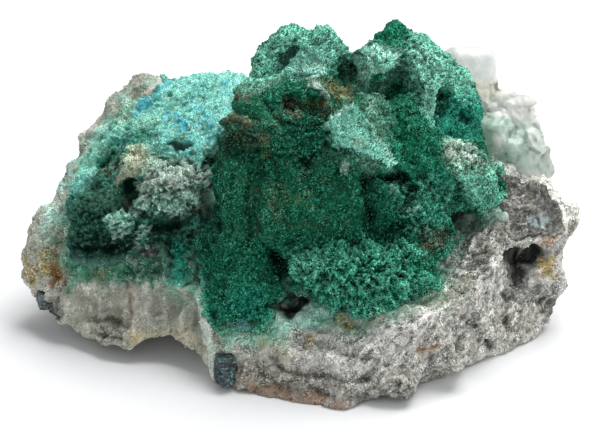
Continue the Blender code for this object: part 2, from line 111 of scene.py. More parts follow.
# Lowest height of a skin in metres, and the heights in mm between which the first grains grow
LOWEST = 0.0001
GRAIN_FOOT = (0.7, 1.4)

# Smallest and largest sizes of the grains in mm, and how far they turn about their own axis, in radians
FINE_GRAIN = ((0.12, 0.12, 0.06), (0.30, 0.30, 0.14))
COARSE_GRAIN = ((0.14, 0.14, 0.08), (0.42, 0.42, 0.20))
SPIN = 3.2

# Smallest length that a division may meet
TINY = 1e-9

# Softening that doesn't shrink: each round moves a point in by the first share and out again by the second
SOFTEN = (0.6, -0.62)

# How a seed moves a noise pattern along each axis, and the strength and the step of its further octaves
SEED_STEP = np.array((1.0, 0.37, -0.71))
OCTAVE_STEP = (0.7, 2.1)

# Relief patterns: top and slope of the ridges, half width of the cracks, and slope and middle of the cells
RIDGE_TOP = 0.55
RIDGE_SLOPE = 1.6
CRACK_WIDTH = 0.10
CELL_SLOPE = 1.5
CELL_MIDDLE = 0.35

# These scramble the place of a flake into the tilt of its face
TILT_MIX = np.array(((12.9, 39.3, 73.1), (78.2, 11.1, 52.2), (37.7, 83.1, 9.2)))
TILT_SPREAD = 43.7

# Stage: floor in metres, even surround, camera in mm, and lights with place and size in metres, and watts
FLOOR_WIDTH = 6.0
PAPER = (0.9, 0.905, 0.915, 1.0)
SURROUND = (0.96, 0.98, 1.0, 1.0)
SURROUND_STRENGTH = 0.36
SENSOR = 36.0
LENS = 216.0
LIT_PLACE = Vector((0, 0, 0.015))
LAMPS = (
    ("top_box", (0.10, 0.15, 0.40), 0.34, 2.3),
    ("front_fill", (-0.10, -0.44, 0.26), 0.30, 0.2),
    ("right_fill", (0.42, -0.16, 0.16), 0.30, 0.5),
)

# Sizes in mm of the patterns in the materials: calm and busy places of a skin, its pale and dark patches,
# its ochre dots, druses, clumps and gold nests of its grains, and the clouds inside the quartz
CALM_SIZE = 1.7
PATCH_SIZE = 2.2
DOT_SIZE = 0.26
DRUSE_SIZE = 1.0
CLUMP_SIZE = 0.42
NEST_SIZE = 0.6
CLOUD_SIZE = 1.4

# Levels of noise between which those patterns go from one end to the other: calm to busy, no dot to dot,
# dark to light grains, gold to rust nests, and clear to cloudy quartz
CALM_LEVELS = (0.36, 0.62)
DOT_LEVELS = (0.60, 0.62)
GRAIN_LEVELS = (0.34, 0.66)
NEST_LEVELS = (0.45, 0.55)
CLOUD_LEVELS = (0.35, 0.65)

# Factors at the two ends: of the grain in calm and busy places, and of the tint in druses and in quartz
CALM_GRIT = (0.35, 1.3)
DRUSE_TINT = (0.8, 1.25)
CLOUD_TINT = (0.9, 1.05)

# Widths of clumps, dark specks and pale specks, and the depth of the bumps, all as factors of the grain
CLUMP_WIDTH = 3.0
DARK_WIDTH = 1.9
PALE_WIDTH = 1.2
BUMP_DEPTH = 0.7

# Shades of the grains that are the darkest and the lightest, and the softness of the step to the palest ones
SHADE_SPAN = (0.1, 0.9)
TIP_EDGE = 0.01

# Dark specks, painted shade in the gaps between grains, and pale specks, partly pale grains and partly
# painted glints, as factors of the tint around them, the softness of their edge, and the darkest factor
SHADOW = 0.32
GLEAM = 2.4
SPECK_EDGE = 0.03
DARKEST = 0.1

# Colours of the rare grains among the green ones, and the shades that are rare
OCHRE_SPECK = "A87E22"
GOLD_GRAIN = "B88E2C"
RUST_GRAIN = "8A4420"
RARE = (0.10, 0.11)

# Colours of the painted zones
PALETTE = {
    "velvet": "0B5E44",
    "forest": "063A28",
    # near-black for painted shade in holes, crevices, grooves and gaps
    "shade_black": "021811",
    "moss": "1F6245",
    "jade": "0F7554",
    "teal": "0C8573",
    "sea": "34A890",
    "lobe": "25A07F",
    "mint": "8DD6C0",
    "spring": "58C4A4",
    "pale_mint": "B4EAD9",
    "aqua": "9EE0D4",
    "turquoise": "52CFCB",
    "sky": "62CFE0",
    "blue": "3FBCDC",
    "frost": "C9DFD3",
    "stained": "9CCAB2",
    "slate_green": "5F8A74",
    "plum": "64809A",
    "umber": "4C4230",
    "wine": "66473E",
    "rust": "8E6432",
    "copper": "C08A5C",
    "ochre": "AE9858",
    "sand": "C2BA9F",
    "bone": "DDD6B8",
    "cream": "F2F1E8",
    "white": "FDFDFB",
    "rock": "C6C5BE",
    "pale_rock": "E6E5E0",
    "olive_rock": "AAAE9C",
    "dull_rock": "8F8D83",
    "dark_rock": "62615B",
    "black_rock": "1F1E1C",
    "glassy": "D8E4D6",
    "glint": "A3B8BB",
    "slate": "4A5051",
    "slate_teal": "35545A",
}

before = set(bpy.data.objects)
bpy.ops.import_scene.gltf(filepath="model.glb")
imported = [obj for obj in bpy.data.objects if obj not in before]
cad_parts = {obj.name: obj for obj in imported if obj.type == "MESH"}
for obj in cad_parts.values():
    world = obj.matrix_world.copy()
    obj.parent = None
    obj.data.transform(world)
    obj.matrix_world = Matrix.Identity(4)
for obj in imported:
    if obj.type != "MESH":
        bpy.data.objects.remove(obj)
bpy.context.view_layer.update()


def linear(text):
    """Turns a six-digit sRGB colour into linear light."""
    values = [int(text[i : i + 2], 16) / 255 for i in (0, 2, 4)]
    return [v / 12.92 if v <= 0.04045 else ((v + 0.055) / 1.055) ** 2.4 for v in values]


def tone(name):
    """A palette colour in linear light."""
    return np.array(linear(PALETTE[name]))


def mixed(colour, other, share):
    """Colours per point moved towards another one by a share per point."""
    return colour + (other - colour) * share[:, None]


def leaning(points):
    """Upright metres to across, away and up in mm, in the leaning frame."""
    local = points * 1000.0 - SETTLED
    rise = local[:, 2] - FLOOR_RISE
    away = local[:, 1] * math.cos(LEAN) - rise * math.sin(LEAN)
    up = local[:, 1] * math.sin(LEAN) + rise * math.cos(LEAN)
    return np.stack((local[:, 0], away, up), axis=1)


def upright(across, away, up):
    """One leaning place in mm to upright metres."""
    local = Vector((
        across,
        away * math.cos(LEAN) + up * math.sin(LEAN),
        up * math.cos(LEAN) - away * math.sin(LEAN) + FLOOR_RISE,
    ))
    return (local + Vector(SETTLED)) * MM


def smoothstep(low, high, values):
    """0 below low, 1 above high, with a soft rise between them."""
    share = np.clip((values - low) / (high - low), 0.0, 1.0)
    return share * share * (3.0 - 2.0 * share)


def get_points(mesh):
    points = np.empty(len(mesh.vertices) * 3, np.float32)
    mesh.vertices.foreach_get("co", points)
    return points.reshape(-1, 3).astype(float)


def set_points(mesh, points):
    mesh.vertices.foreach_set("co", points.astype(np.float32).ravel())
    mesh.update()


def get_normals(mesh):
    normals = np.empty(len(mesh.vertices) * 3, np.float32)
    mesh.vertex_normals.foreach_get("vector", normals)
    return normals.reshape(-1, 3).astype(float)


def get_edges(mesh):
    edges = np.empty(len(mesh.edges) * 2, np.int32)
    mesh.edges.foreach_get("vertices", edges)
    return edges.reshape(-1, 2)


def blurred(values, edges, rounds, keep=0.5):
    """Averages per-vertex values along the edges a number of times."""
    count = len(values)
    degree = np.bincount(edges.ravel(), minlength=count)[:, None]
    result = values.reshape(count, -1).copy()
    for _ in range(rounds):
        total = np.empty_like(result)
        for axis in range(result.shape[1]):
            a = np.bincount(edges[:, 0], weights=result[edges[:, 1], axis], minlength=count)
            b = np.bincount(edges[:, 1], weights=result[edges[:, 0], axis], minlength=count)
            total[:, axis] = a + b
        result = result * (1.0 - keep) + total / degree * keep
    return result.reshape(values.shape)


def eased(points, edges, rounds):
    """Softens a skin without shrinking it."""
    for _ in range(rounds):
        for share in SOFTEN:
            points = blurred(points, edges, 1, share)
    return points


def shifted(places, size, seed):
    """Places in mm to places in a pattern of one size, with a seed of its own."""
    return places / size + seed * SEED_STEP


def noise_at(places, size, seed, octaves=1):
    """Gradient noise, about -1 to 1, at places in mm."""
    spots = shifted(places, size, seed).tolist()
    if octaves == 1:
        return np.array([noise.noise(s, noise_basis="PERLIN_ORIGINAL") for s in spots])
    return np.array([noise.fractal(s, *OCTAVE_STEP, octaves, noise_basis="PERLIN_ORIGINAL") for s in spots])


def plain(places, size, seed):
    """Rolling relief."""
    return noise_at(places, size, seed, 2)


def ridges(places, size, seed):
    """Sharp winding crests over round hollows."""
    return RIDGE_TOP - RIDGE_SLOPE * np.abs(noise_at(places, size, seed, 2))


def cracks(places, size, seed):
    """Level ground cut by thin winding cracks."""
    return smoothstep(0.0, CRACK_WIDTH, np.abs(noise_at(places, size, seed, 3))) - 1.0


def cells(places, size, seed):
    """Round bumps with narrow gaps between them."""
    near = np.array([noise.voronoi(s)[0][0] for s in shifted(places, size, seed).tolist()])
    return np.clip(1.0 - near * CELL_SLOPE, 0.0, 1.0) - CELL_MIDDLE


def flakes(places, size, seed):
    """Broken crystal faces: each cell is a small plane with a tilt of its own."""
    spots = shifted(places, size, seed)
    middles = np.array([noise.voronoi(s)[1][0] for s in spots.tolist()])
    turns = np.sin(middles @ TILT_MIX * TILT_SPREAD)
    return np.sum((spots - middles) * turns, axis=1)


def streaks(place, angle, long, short):
    """Places measured along and across a direction of the front view, for stretched noise."""
    run = np.array((math.cos(math.radians(angle)), 0.0, math.sin(math.radians(angle))))
    fall = np.array((-run[2], 0.0, run[0]))
    return np.stack((place @ run / long, place[:, 1] / short, place @ fall / short), axis=1)


def off_stretch(place, a, b):
    """Distance in mm to one straight stretch of a line."""
    run = b - a
    share = np.clip(((place - a) @ run) / max(run @ run, TINY), 0.0, 1.0)
    return np.linalg.norm(place - a - share[:, None] * run, axis=1)


def along(across, up, line):
    """Distance in mm to an open line of the front view."""
    place = np.stack((across, up), axis=1)
    corners = np.array(line, float)
    return np.min([off_stretch(place, a, b) for a, b in zip(corners[:-1], corners[1:])], axis=0)


def inside(across, up, outline):
    """Signed distance in mm to a closed outline of the front view, positive inside."""
    place = np.stack((across, up), axis=1)
    corners = np.array(outline, float)
    nearest = np.full(len(place), np.inf)
    within = np.zeros(len(place), bool)
    for a, b in zip(corners, np.roll(corners, -1, axis=0)):
        nearest = np.minimum(nearest, off_stretch(place, a, b))
        spans = (a[1] > place[:, 1]) != (b[1] > place[:, 1])
        rise = b[1] - a[1] if abs(b[1] - a[1]) > TINY else TINY
        within ^= spans & (place[:, 0] < a[0] + (place[:, 1] - a[1]) / rise * (b[0] - a[0]))
    return np.where(within, nearest, -nearest)


def new_piece(name, mesh):
    made = bpy.data.objects.new(name, mesh)
    bpy.context.scene.collection.objects.link(made)
    return made


def evaluated(made):
    """A mesh with an object's modifiers built in."""
    graph = bpy.context.evaluated_depsgraph_get()
    return bpy.data.meshes.new_from_object(made.evaluated_get(graph))


def fine_copy(node, voxel):
    """A fine, closed copy of a CAD piece."""
    made = new_piece(node + "_skin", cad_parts[node].data.copy())
    weld = made.modifiers.new("weld", "WELD")
    weld.merge_threshold = 1e-6
    skin = made.modifiers.new("skin", "REMESH")
    skin.mode = "VOXEL"
    skin.voxel_size = voxel * MM
    mesh = evaluated(made)
    made.modifiers.clear()
    made.data = mesh
    mesh.materials.clear()
    return made


def neighbour_tree(names):
    """A search tree over the CAD pieces that a piece has grown against."""
    corners = []
    faces = []
    for name in names:
        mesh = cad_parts[name].data
        base = len(corners)
        corners.extend(v.co.copy() for v in mesh.vertices)
        faces.extend([base + i for i in p.vertices] for p in mesh.polygons)
    return BVHTree.FromPolygons(corners, faces)


def nearness(points, names, near, reach):
    """1 within the near distance of a neighbour, 0 past the reach, both in mm."""
    tree = neighbour_tree(names)
    far = np.array([tree.find_nearest(p, reach * MM)[3] or reach * MM for p in points.tolist()])
    return 1.0 - smoothstep(near * MM, reach * MM, far)


def store(mesh, name, values):
    """Keeps one value or one colour per vertex."""
    if values.ndim == 2:
        layer = mesh.attributes.new(name, "FLOAT_COLOR", "POINT")
        full = np.column_stack((values, np.ones(len(values))))
        layer.data.foreach_set("color", full.astype(np.float32).ravel())
    else:
        layer = mesh.attributes.new(name, "FLOAT", "POINT")
        layer.data.foreach_set("value", values.astype(np.float32))


class Skin:
    """One CAD piece as a fine skin, with what its look needs to know at each point."""

    def __init__(self, node, look):
        self.look = look
        self.made = fine_copy(node, look["voxel"])
        self.mesh = self.made.data
        self.edges = get_edges(self.mesh)
        self.points = eased(get_points(self.mesh), self.edges, look["ease"])
        set_points(self.mesh, self.points)
        self.normals = get_normals(self.mesh)
        self.place = leaning(self.points)
        self.side, self.level = (self.place[:, i] * REACH / (REACH + self.place[:, 1]) for i in (0, 2))
        self.touching = nearness(self.points, look["neighbours"], SEAM_NEAR, SEAM_REACH)
        toward = self.normals[:, 2] * math.sin(LEAN) - self.normals[:, 1] * math.cos(LEAN)
        self.facing = smoothstep(*TURNED, toward)
        self.melt()
        self.wobble = sum(strength * self.waves(*rest) for strength, *rest in STRAY)
        self.across = self.side + DRIFT * self.waves(DRIFT_SIZE, 3.1, 2)
        self.up = self.level + DRIFT * self.waves(DRIFT_SIZE, 5.9, 2)

    def waves(self, size, shift, octaves=1):
        """Noise of a size in mm, with a stretch of its own for each skin and shift."""
        return noise_at(self.place, size, self.look["seed"] + shift, octaves)

    def within(self, outline, soft, stray=0.0):
        """1 inside an outline of the front view and 0 outside, on the faces turned to the view."""
        return smoothstep(-soft, soft, inside(self.side, self.level, outline) + stray) * self.facing

    def beside(self, line, width):
        """1 on a line of the front view, fading to both sides."""
        return np.exp(-((along(self.across, self.up, line) / width) ** 2)) * self.facing

    def strongest(self, rows, stray=0.0):
        """The strongest of a table's outlines at each point."""
        best = np.zeros(len(self.points))
        for strength, soft, outline in rows:
            best = np.maximum(best, self.within(outline, soft, stray) * strength)
        return best

    def lay(self, name, share):
        """Lays a palette colour over the skin's colour."""
        self.colour = mixed(self.colour, tone(name), share)

    def melt(self):
        """Rounds off the places that the look names."""
        for rounds, outline in self.look["melt"]:
            share = self.within(outline, 1.0)[:, None]
            self.points = self.points + (blurred(self.points, self.edges, rounds) - self.points) * share
            set_points(self.mesh, self.points)
            self.normals = get_normals(self.mesh)

    def paint(self):
        """Base colour, broad tones and painted zones, which also say how strong the relief is."""
        look = self.look
        self.colour = np.tile(tone(look["colour"]), (len(self.points), 1))
        self.relief = np.full(len(self.points), look["relief"])
        for name, size, edge, strength in look["tones"]:
            self.lay(name, smoothstep(edge, edge + TONE_FADE, self.waves(size, size, 3)) * strength)
        for name, strength, soft, lift, outline in look["paint"]:
            share = self.within(outline, soft, self.wobble * min(1.0, 0.35 + soft))
            self.lay(name, share * strength)
            self.relief += (lift - self.relief) * share

    def stain(self):
        """Streaked bands, stains along the neighbours, and veins."""
        look = self.look
        for name, angle, long, short, edge, strength, outline in look["bands"]:
            streaked = noise_at(streaks(self.place, angle, long, short), 1.0, look["seed"] + angle, 2)
            share = smoothstep(edge, edge + STREAK_FADE, streaked) * self.within(outline, 1.0, self.wobble)
            self.lay(name, share * strength)
        patches = smoothstep(*STAIN_LEVELS, self.waves(*STAIN_PATCH))
        for name, names, near, reach, strength in look["seams"]:
            share = nearness(self.points, names, near, reach) + STAIN_STRAY * self.wobble
            self.lay(name, smoothstep(*STAIN_EDGE, share) * strength * patches)
        broken = smoothstep(*VEIN_LEVELS, self.wobble)
        for name, width, strength, line in look["veins"]:
            self.lay(name, self.beside(line, width) * broken * strength)

    def branch(self):
        """Coral frills: painted shade in the gaps, ridges partly painted highlight, tips painted highlight.
        Returns their height in mm.
        """
        size, dim, lit, tall, angle, stretch = self.look["coral"]
        frill = self.strongest(self.look["frills"], self.wobble)
        spots = streaks(self.place, angle, size * stretch, size)
        ridge = 1.0 - RIDGE_THIN * np.abs(noise_at(spots, 1.0, self.look["seed"] + RIDGE_SHIFT, 3))
        ridge = smoothstep(*RIDGE_LEVELS, ridge)
        self.lay(dim, frill * (1.0 - ridge) * GAP_SHARE)
        self.lay(lit, frill * ridge * RIDGE_SHARE)
        self.lay("frost", frill * ridge ** 6 * TIP_SHARE)
        return frill * (ridge - RIDGE_MIDDLE) * tall

    def raise_relief(self, frills):
        """Moves the skin out or in by its strokes, its layers of relief and its frills."""
        look = self.look
        ragged = noise_at(self.place, *RAGGED, 2)
        height = look["bias"] * (1.0 - self.touching)
        height += (look["touch"] + look["ragged"] * ragged) * self.touching
        free = 1.0 - TOUCH_CALM * self.touching
        for rise, width, line in look["strokes"]:
            height += rise * self.beside(line, width) * free
        for size, rise, form, shift in look["layers"]:
            height += rise * self.relief * form(self.place, size, look["seed"] + shift) * free
        height += frills
        self.points = self.points + self.normals * (height * MM)[:, None]
        self.points[:, 2] = np.maximum(self.points[:, 2], LOWEST)
        set_points(self.mesh, self.points)

    def shade(self):
        """Paints shade into hollows and highlights onto crests, both measured from softened copies of the
        skin.
        """
        look = self.look
        soft_points = blurred(self.points, self.edges, SMALL_ROUNDS)
        broad_points = blurred(soft_points, self.edges, BROAD_ROUNDS)
        fine = np.sum((soft_points - self.points) * self.normals, axis=1) / MM
        broad = np.sum((broad_points - soft_points) * self.normals, axis=1) / MM
        pit = smoothstep(*PIT, fine)
        deep = smoothstep(*HOLLOW, broad)
        crest = smoothstep(*PIT, -fine)
        swell = smoothstep(*SWELL, -broad)
        dim = 1.0 - PALE_SPARED * smoothstep(*PALE_LEVELS, np.mean(self.colour, axis=1))
        # painted shade in the hollows, then painted highlights on the crests
        left = (1.0 - look["pit"] * pit * dim) * (1.0 - look["deep"] * deep * dim)
        self.colour = self.colour * left[:, None]
        self.lay(look["crest_highlight"], np.maximum(crest * look["crest"], swell * look["swell"]))
        clear = smoothstep(*GRAIN_FOOT, self.points[:, 2] / MM)
        turned = AWAY_LEFT + (1.0 - AWAY_LEFT) * self.facing
        self.cover = (1.0 - PIT_THIN * pit) * (1.0 - HOLLOW_THIN * deep) * turned * clear

    def keep(self):
        """Stores what the materials and the grains read, and returns the piece."""
        look = self.look
        specks = self.strongest(look["specks"]) * smoothstep(*SPECK_LEVELS, self.waves(*SPECK_PATCH))
        grit = self.relief + look["grit"] * (1.0 - self.relief)
        store(self.mesh, "tint", self.colour)
        store(self.mesh, "specks", specks)
        store(self.mesh, "grit", np.clip(grit, *GRIT_LIMITS))
        store(self.mesh, "cover", self.cover * np.clip(self.relief - look["bare"], 0.0, MOST_COVER))
        self.mesh.polygons.foreach_set("use_smooth", [True] * len(self.mesh.polygons))
        self.mesh.update()
        return self.made


def dress(node, look):
    """Turns one CAD piece into a fine skin with relief and colour."""
    skin = Skin(node, look)
    skin.paint()
    skin.stain()
    skin.raise_relief(skin.branch())
    skin.shade()
    return skin.keep()


# The tables of a look, with places across and up in mm as the front view shows them:
# strokes raise or cut the skin along a line: height and half width in mm, line;
# paint lays a colour inside an outline: colour, strength, softness in mm, relief, outline;
# veins lay a colour along a line: colour, half width in mm, strength, line;
# bands are streaks inside an outline: colour, angle, length and width in mm, threshold, strength, outline;
# frills and specks fill an outline: strength, softness in mm, outline;
# melt rounds off what is inside an outline: rounds of softening, outline.
# The other values of a look, with sizes in mm:
# voxel and ease are the edge of its cells and the rounds of softening, and seed moves its patterns;
# bias moves the skin out, or in below 0, where it is free, and touch and ragged where it meets neighbours;
# layers are its relief, as strong as relief says: size, height, pattern, shift;
# tones are broad patches over its colour: colour, size, threshold, strength;
# coral says how its frills branch: size, colour of the painted shade in the gaps, ridge colour that is partly
# painted highlight, height, angle, stretch;
# seams are stains along neighbours: colour, neighbours, near, reach, strength;
# pit and deep are the strengths of painted shade in small and broad hollows, and crest and swell those of
# painted highlights on small and broad crests, in the crest highlight colour;
# grit is the grain left where there is no relief, and bare the relief below which no grains grow.
PLAIN = {
    "strokes": (), "paint": (), "veins": (), "bands": (), "frills": (), "specks": (), "melt": (),
    "coral": (1.0, "shade_black", "cream", 0.0, 0.0, 1.0), "grit": 0.0, "bare": 0.0,
}

# Brochantite mass: dark green centre with two peaks, ledge, dome, pale lump and frilly lobe
LEDGE_CAVITY = ((-2.5, 14.6), (-0.4, 14.4), (0.1, 12.8), (-1.2, 12.5), (-2.4, 13.0))
LOBE = (
    (-2.4, -5.2), (-0.4, -3.8), (3, -4.2), (6, -3.2), (9, -3.6), (12.6, -2.8), (15.2, -5), (13.6, -6.2),
    (17.4, -8.4), (15.6, -10.4), (9, -11.8), (6, -12.6), (3, -11.4), (0, -8.9),
)
MASS_STROKES = (
    # slit under the left peak, and the valley between the peaks
    (-1.2, 0.38, ((-0.4, 21.0), (-1.4, 20.0), (-2.2, 18.8), (-3.4, 17.8))),
    (-0.2, 0.60, ((5.2, 18.2), (6.6, 17.4), (7.8, 16.0))),
    (2.0, 0.80, ((2.4, 15.2), (3.2, 14.6))),
    # ledge head: bright rim, two strata and the cavity behind them
    (0.5, 0.35, ((-9.4, 15.3), (-6.2, 16.3), (-4.7, 16.5), (-3.0, 17.0), (-1.4, 18.3))),
    (-0.35, 0.30, ((-9.9, 13.6), (-8.4, 13.2), (-6.4, 12.4), (-5.0, 11.6))),
    (0.7, 1.0, ((-8.4, 13.4), (-6.0, 13.6), (-4.0, 14.0))),
    (0.5, 0.40, ((-10.2, 12.5), (-8.0, 12.3), (-6.2, 11.7), (-4.8, 11.5))),
    (-0.5, 0.40, ((-9.8, 10.6), (-7.4, 10.4), (-5.0, 10.2), (-3.4, 10.8))),
    (-0.5, 0.35, ((-4.8, 14.4), (-3.2, 12.8), (-2.2, 11.6), (0.2, 11.2), (2.4, 11.6))),
    (0.3, 0.90, ((-2.0, 14.0), (-1.0, 13.8), (0.2, 13.8))),
    (-0.5, 0.35, ((1.2, 13.0), (2.8, 12.4), (3.4, 11.8))),
    # folds that sweep from the left edge up to the valley
    (-0.45, 0.25, ((-5.6, 8.0), (-3.4, 8.4), (-1.0, 8.6), (1.8, 9.8), (3.2, 10.8))),
    (0.4, 0.30, ((-4.2, 8.6), (-1.4, 9.2), (0.8, 9.4), (2.6, 10.8))),
    (-0.4, 0.25, ((-2.4, 9.8), (0.0, 10.0), (1.8, 10.9))),
    (-0.5, 0.30, ((-4.6, 5.6), (-4.9, 6.8), (-3.6, 7.5), (-0.4, 7.5))),
    (-0.7, 0.50, ((0.3, 7.4), (0.8, 6.8))),
    # pale lump: ridge, facet edge and the dark under it
    (0.5, 0.40, ((6.5, 13.9), (7.8, 12.6), (9.2, 10.2), (11.2, 7.6))),
    (-0.7, 0.40, ((2.9, 10.2), (3.2, 9.0), (4.4, 8.0), (6.2, 7.6))),
    (-0.6, 0.35, ((7.8, 14.2), (8.6, 12.8), (9.4, 11.6))),
    (-0.5, 0.30, ((10.8, 13.6), (11.6, 11.6), (11.9, 9.8))),
    (-1.0, 0.45, ((9.0, 5.0), (10.6, 4.8), (12.2, 5.0), (13.4, 4.6))),
    (-0.5, 0.35, ((8.3, 5.2), (8.2, 3.0), (8.5, 0.6), (8.8, -0.6))),
    (0.7, 0.60, ((9.6, 3.8), (11.2, 3.0), (12.4, 2.0))),
    (-0.5, 0.40, ((13.8, 3.2), (13.0, 1.0), (12.5, -1.4))),
    # right side crevices and pockets
    (-1.3, 0.40, ((17.8, 15.4), (17.6, 13.8), (18.0, 11.8))),
    (-0.8, 0.40, ((18.6, 18.4), (19.0, 17.0), (18.6, 15.4))),
    (-0.4, 0.35, ((12.6, 19.6), (13.2, 18.4), (12.6, 16.8))),
    (-0.6, 0.40, ((15.2, 19.0), (15.6, 17.2), (15.0, 15.2))),
    (-1.0, 0.60, ((20.2, 12.6), (21.0, 11.8))),
    (-0.8, 0.50, ((18.6, 10.6), (19.8, 10.4))),
    (0.4, 0.30, ((18.2, 8.9), (20.4, 9.2), (23.0, 7.4), (25.2, 5.8))),
    (-0.5, 0.40, ((19.2, 5.4), (19.8, 3.4), (19.6, 1.6))),
    # upright grooves on the front face
    (-0.3, 0.40, ((-6.2, 5.4), (-6.6, 2.0), (-6.2, -2.6))),
    (0.6, 1.10, ((-4.6, 4.6), (-4.8, 1.0), (-4.4, -2.4))),
    (-0.35, 0.45, ((-3.6, 7.0), (-2.6, 4.8), (-2.6, 2.2))),
    (-0.2, 0.45, ((1.6, 3.6), (3.0, 1.2), (5.2, -1.0))),
    (-0.3, 0.40, ((3.8, 7.0), (5.0, 5.0))),
    (0.30, 0.60, ((-1.4, 6.4), (0.4, 3.4), (1.4, 0.4))),
    (-0.3, 0.40, ((-8.4, 5.0), (-8.9, 1.6), (-8.8, -2.4))),
    (-0.2, 0.50, ((-2.0, -0.4), (-1.6, -2.0), (-0.8, -3.6))),
    # left flank and tail
    (-0.8, 0.45, ((-11.2, 0.6), (-10.4, -1.6), (-11.6, -3.8), (-12.4, -6.4))),
    (-0.4, 0.40, ((-8.6, -5.0), (-9.6, -8.0), (-10.0, -11.0))),
    # edges and holes of the frilly lobe
    (-0.5, 0.50, ((-4.6, -4.0), (-3.0, -5.0), (-2.4, -6.4), (-1.2, -8.2))),
    (-1.6, 0.80, ((-2.8, -11.6), (-1.0, -10.8), (0.8, -10.4))),
    (-1.0, 0.40, ((2.6, -4.8), (4.2, -5.0))),
    (-1.2, 0.50, ((5.8, -4.6), (7.4, -4.8))),
    (-0.9, 0.35, ((6.3, -8.2), (7.0, -7.4))),
    (-0.8, 0.35, ((2.6, -7.6), (3.4, -8.6))),
    (-0.8, 0.35, ((9.4, -7.2), (10.6, -6.8))),
    (-0.8, 0.35, ((-0.2, -6.6), (0.8, -7.4))),
    (-0.8, 0.35, ((4.6, -9.6), (5.6, -10.2))),
    (-0.9, 0.40, ((10.4, -4.6), (10.6, -6.0))),
    (-0.8, 0.40, ((12.4, -4.4), (13.4, -5.6))),
    (-0.9, 0.30, ((0.6, -5.0), (1.6, -5.6), (1.4, -6.6))),
    (-0.8, 0.28, ((4.2, -6.0), (5.0, -6.8))),
    (-0.8, 0.28, ((7.6, -9.6), (8.6, -9.0), (9.6, -9.4))),
    (-0.8, 0.28, ((8.4, -5.6), (9.2, -5.0))),
    (-0.7, 0.28, ((11.6, -8.6), (12.8, -8.0))),
    (-0.7, 0.30, ((2.4, -9.9), (3.6, -10.6))),
    # fine cracks in the pale lump and the peaks
    (-0.3, 0.18, ((4.6, 12.6), (5.4, 11.0), (5.0, 9.6))),
    (-0.25, 0.18, ((6.2, 13.0), (6.8, 11.2))),
    (-0.5, 0.22, ((-4.4, 20.6), (-2.8, 21.6), (-0.8, 21.8), (1.4, 22.8))),
    (-0.5, 0.22, ((0.4, 20.6), (1.6, 19.4), (3.4, 19.0))),
    (-0.5, 0.22, ((8.2, 20.2), (9.8, 19.2), (11.8, 19.4))),
    (-0.5, 0.22, ((14.4, 21.4), (15.4, 19.6), (16.8, 18.6), (16.6, 16.4))),
    (-0.5, 0.25, ((13.6, 18.0), (14.6, 16.8), (14.4, 15.2))),
)
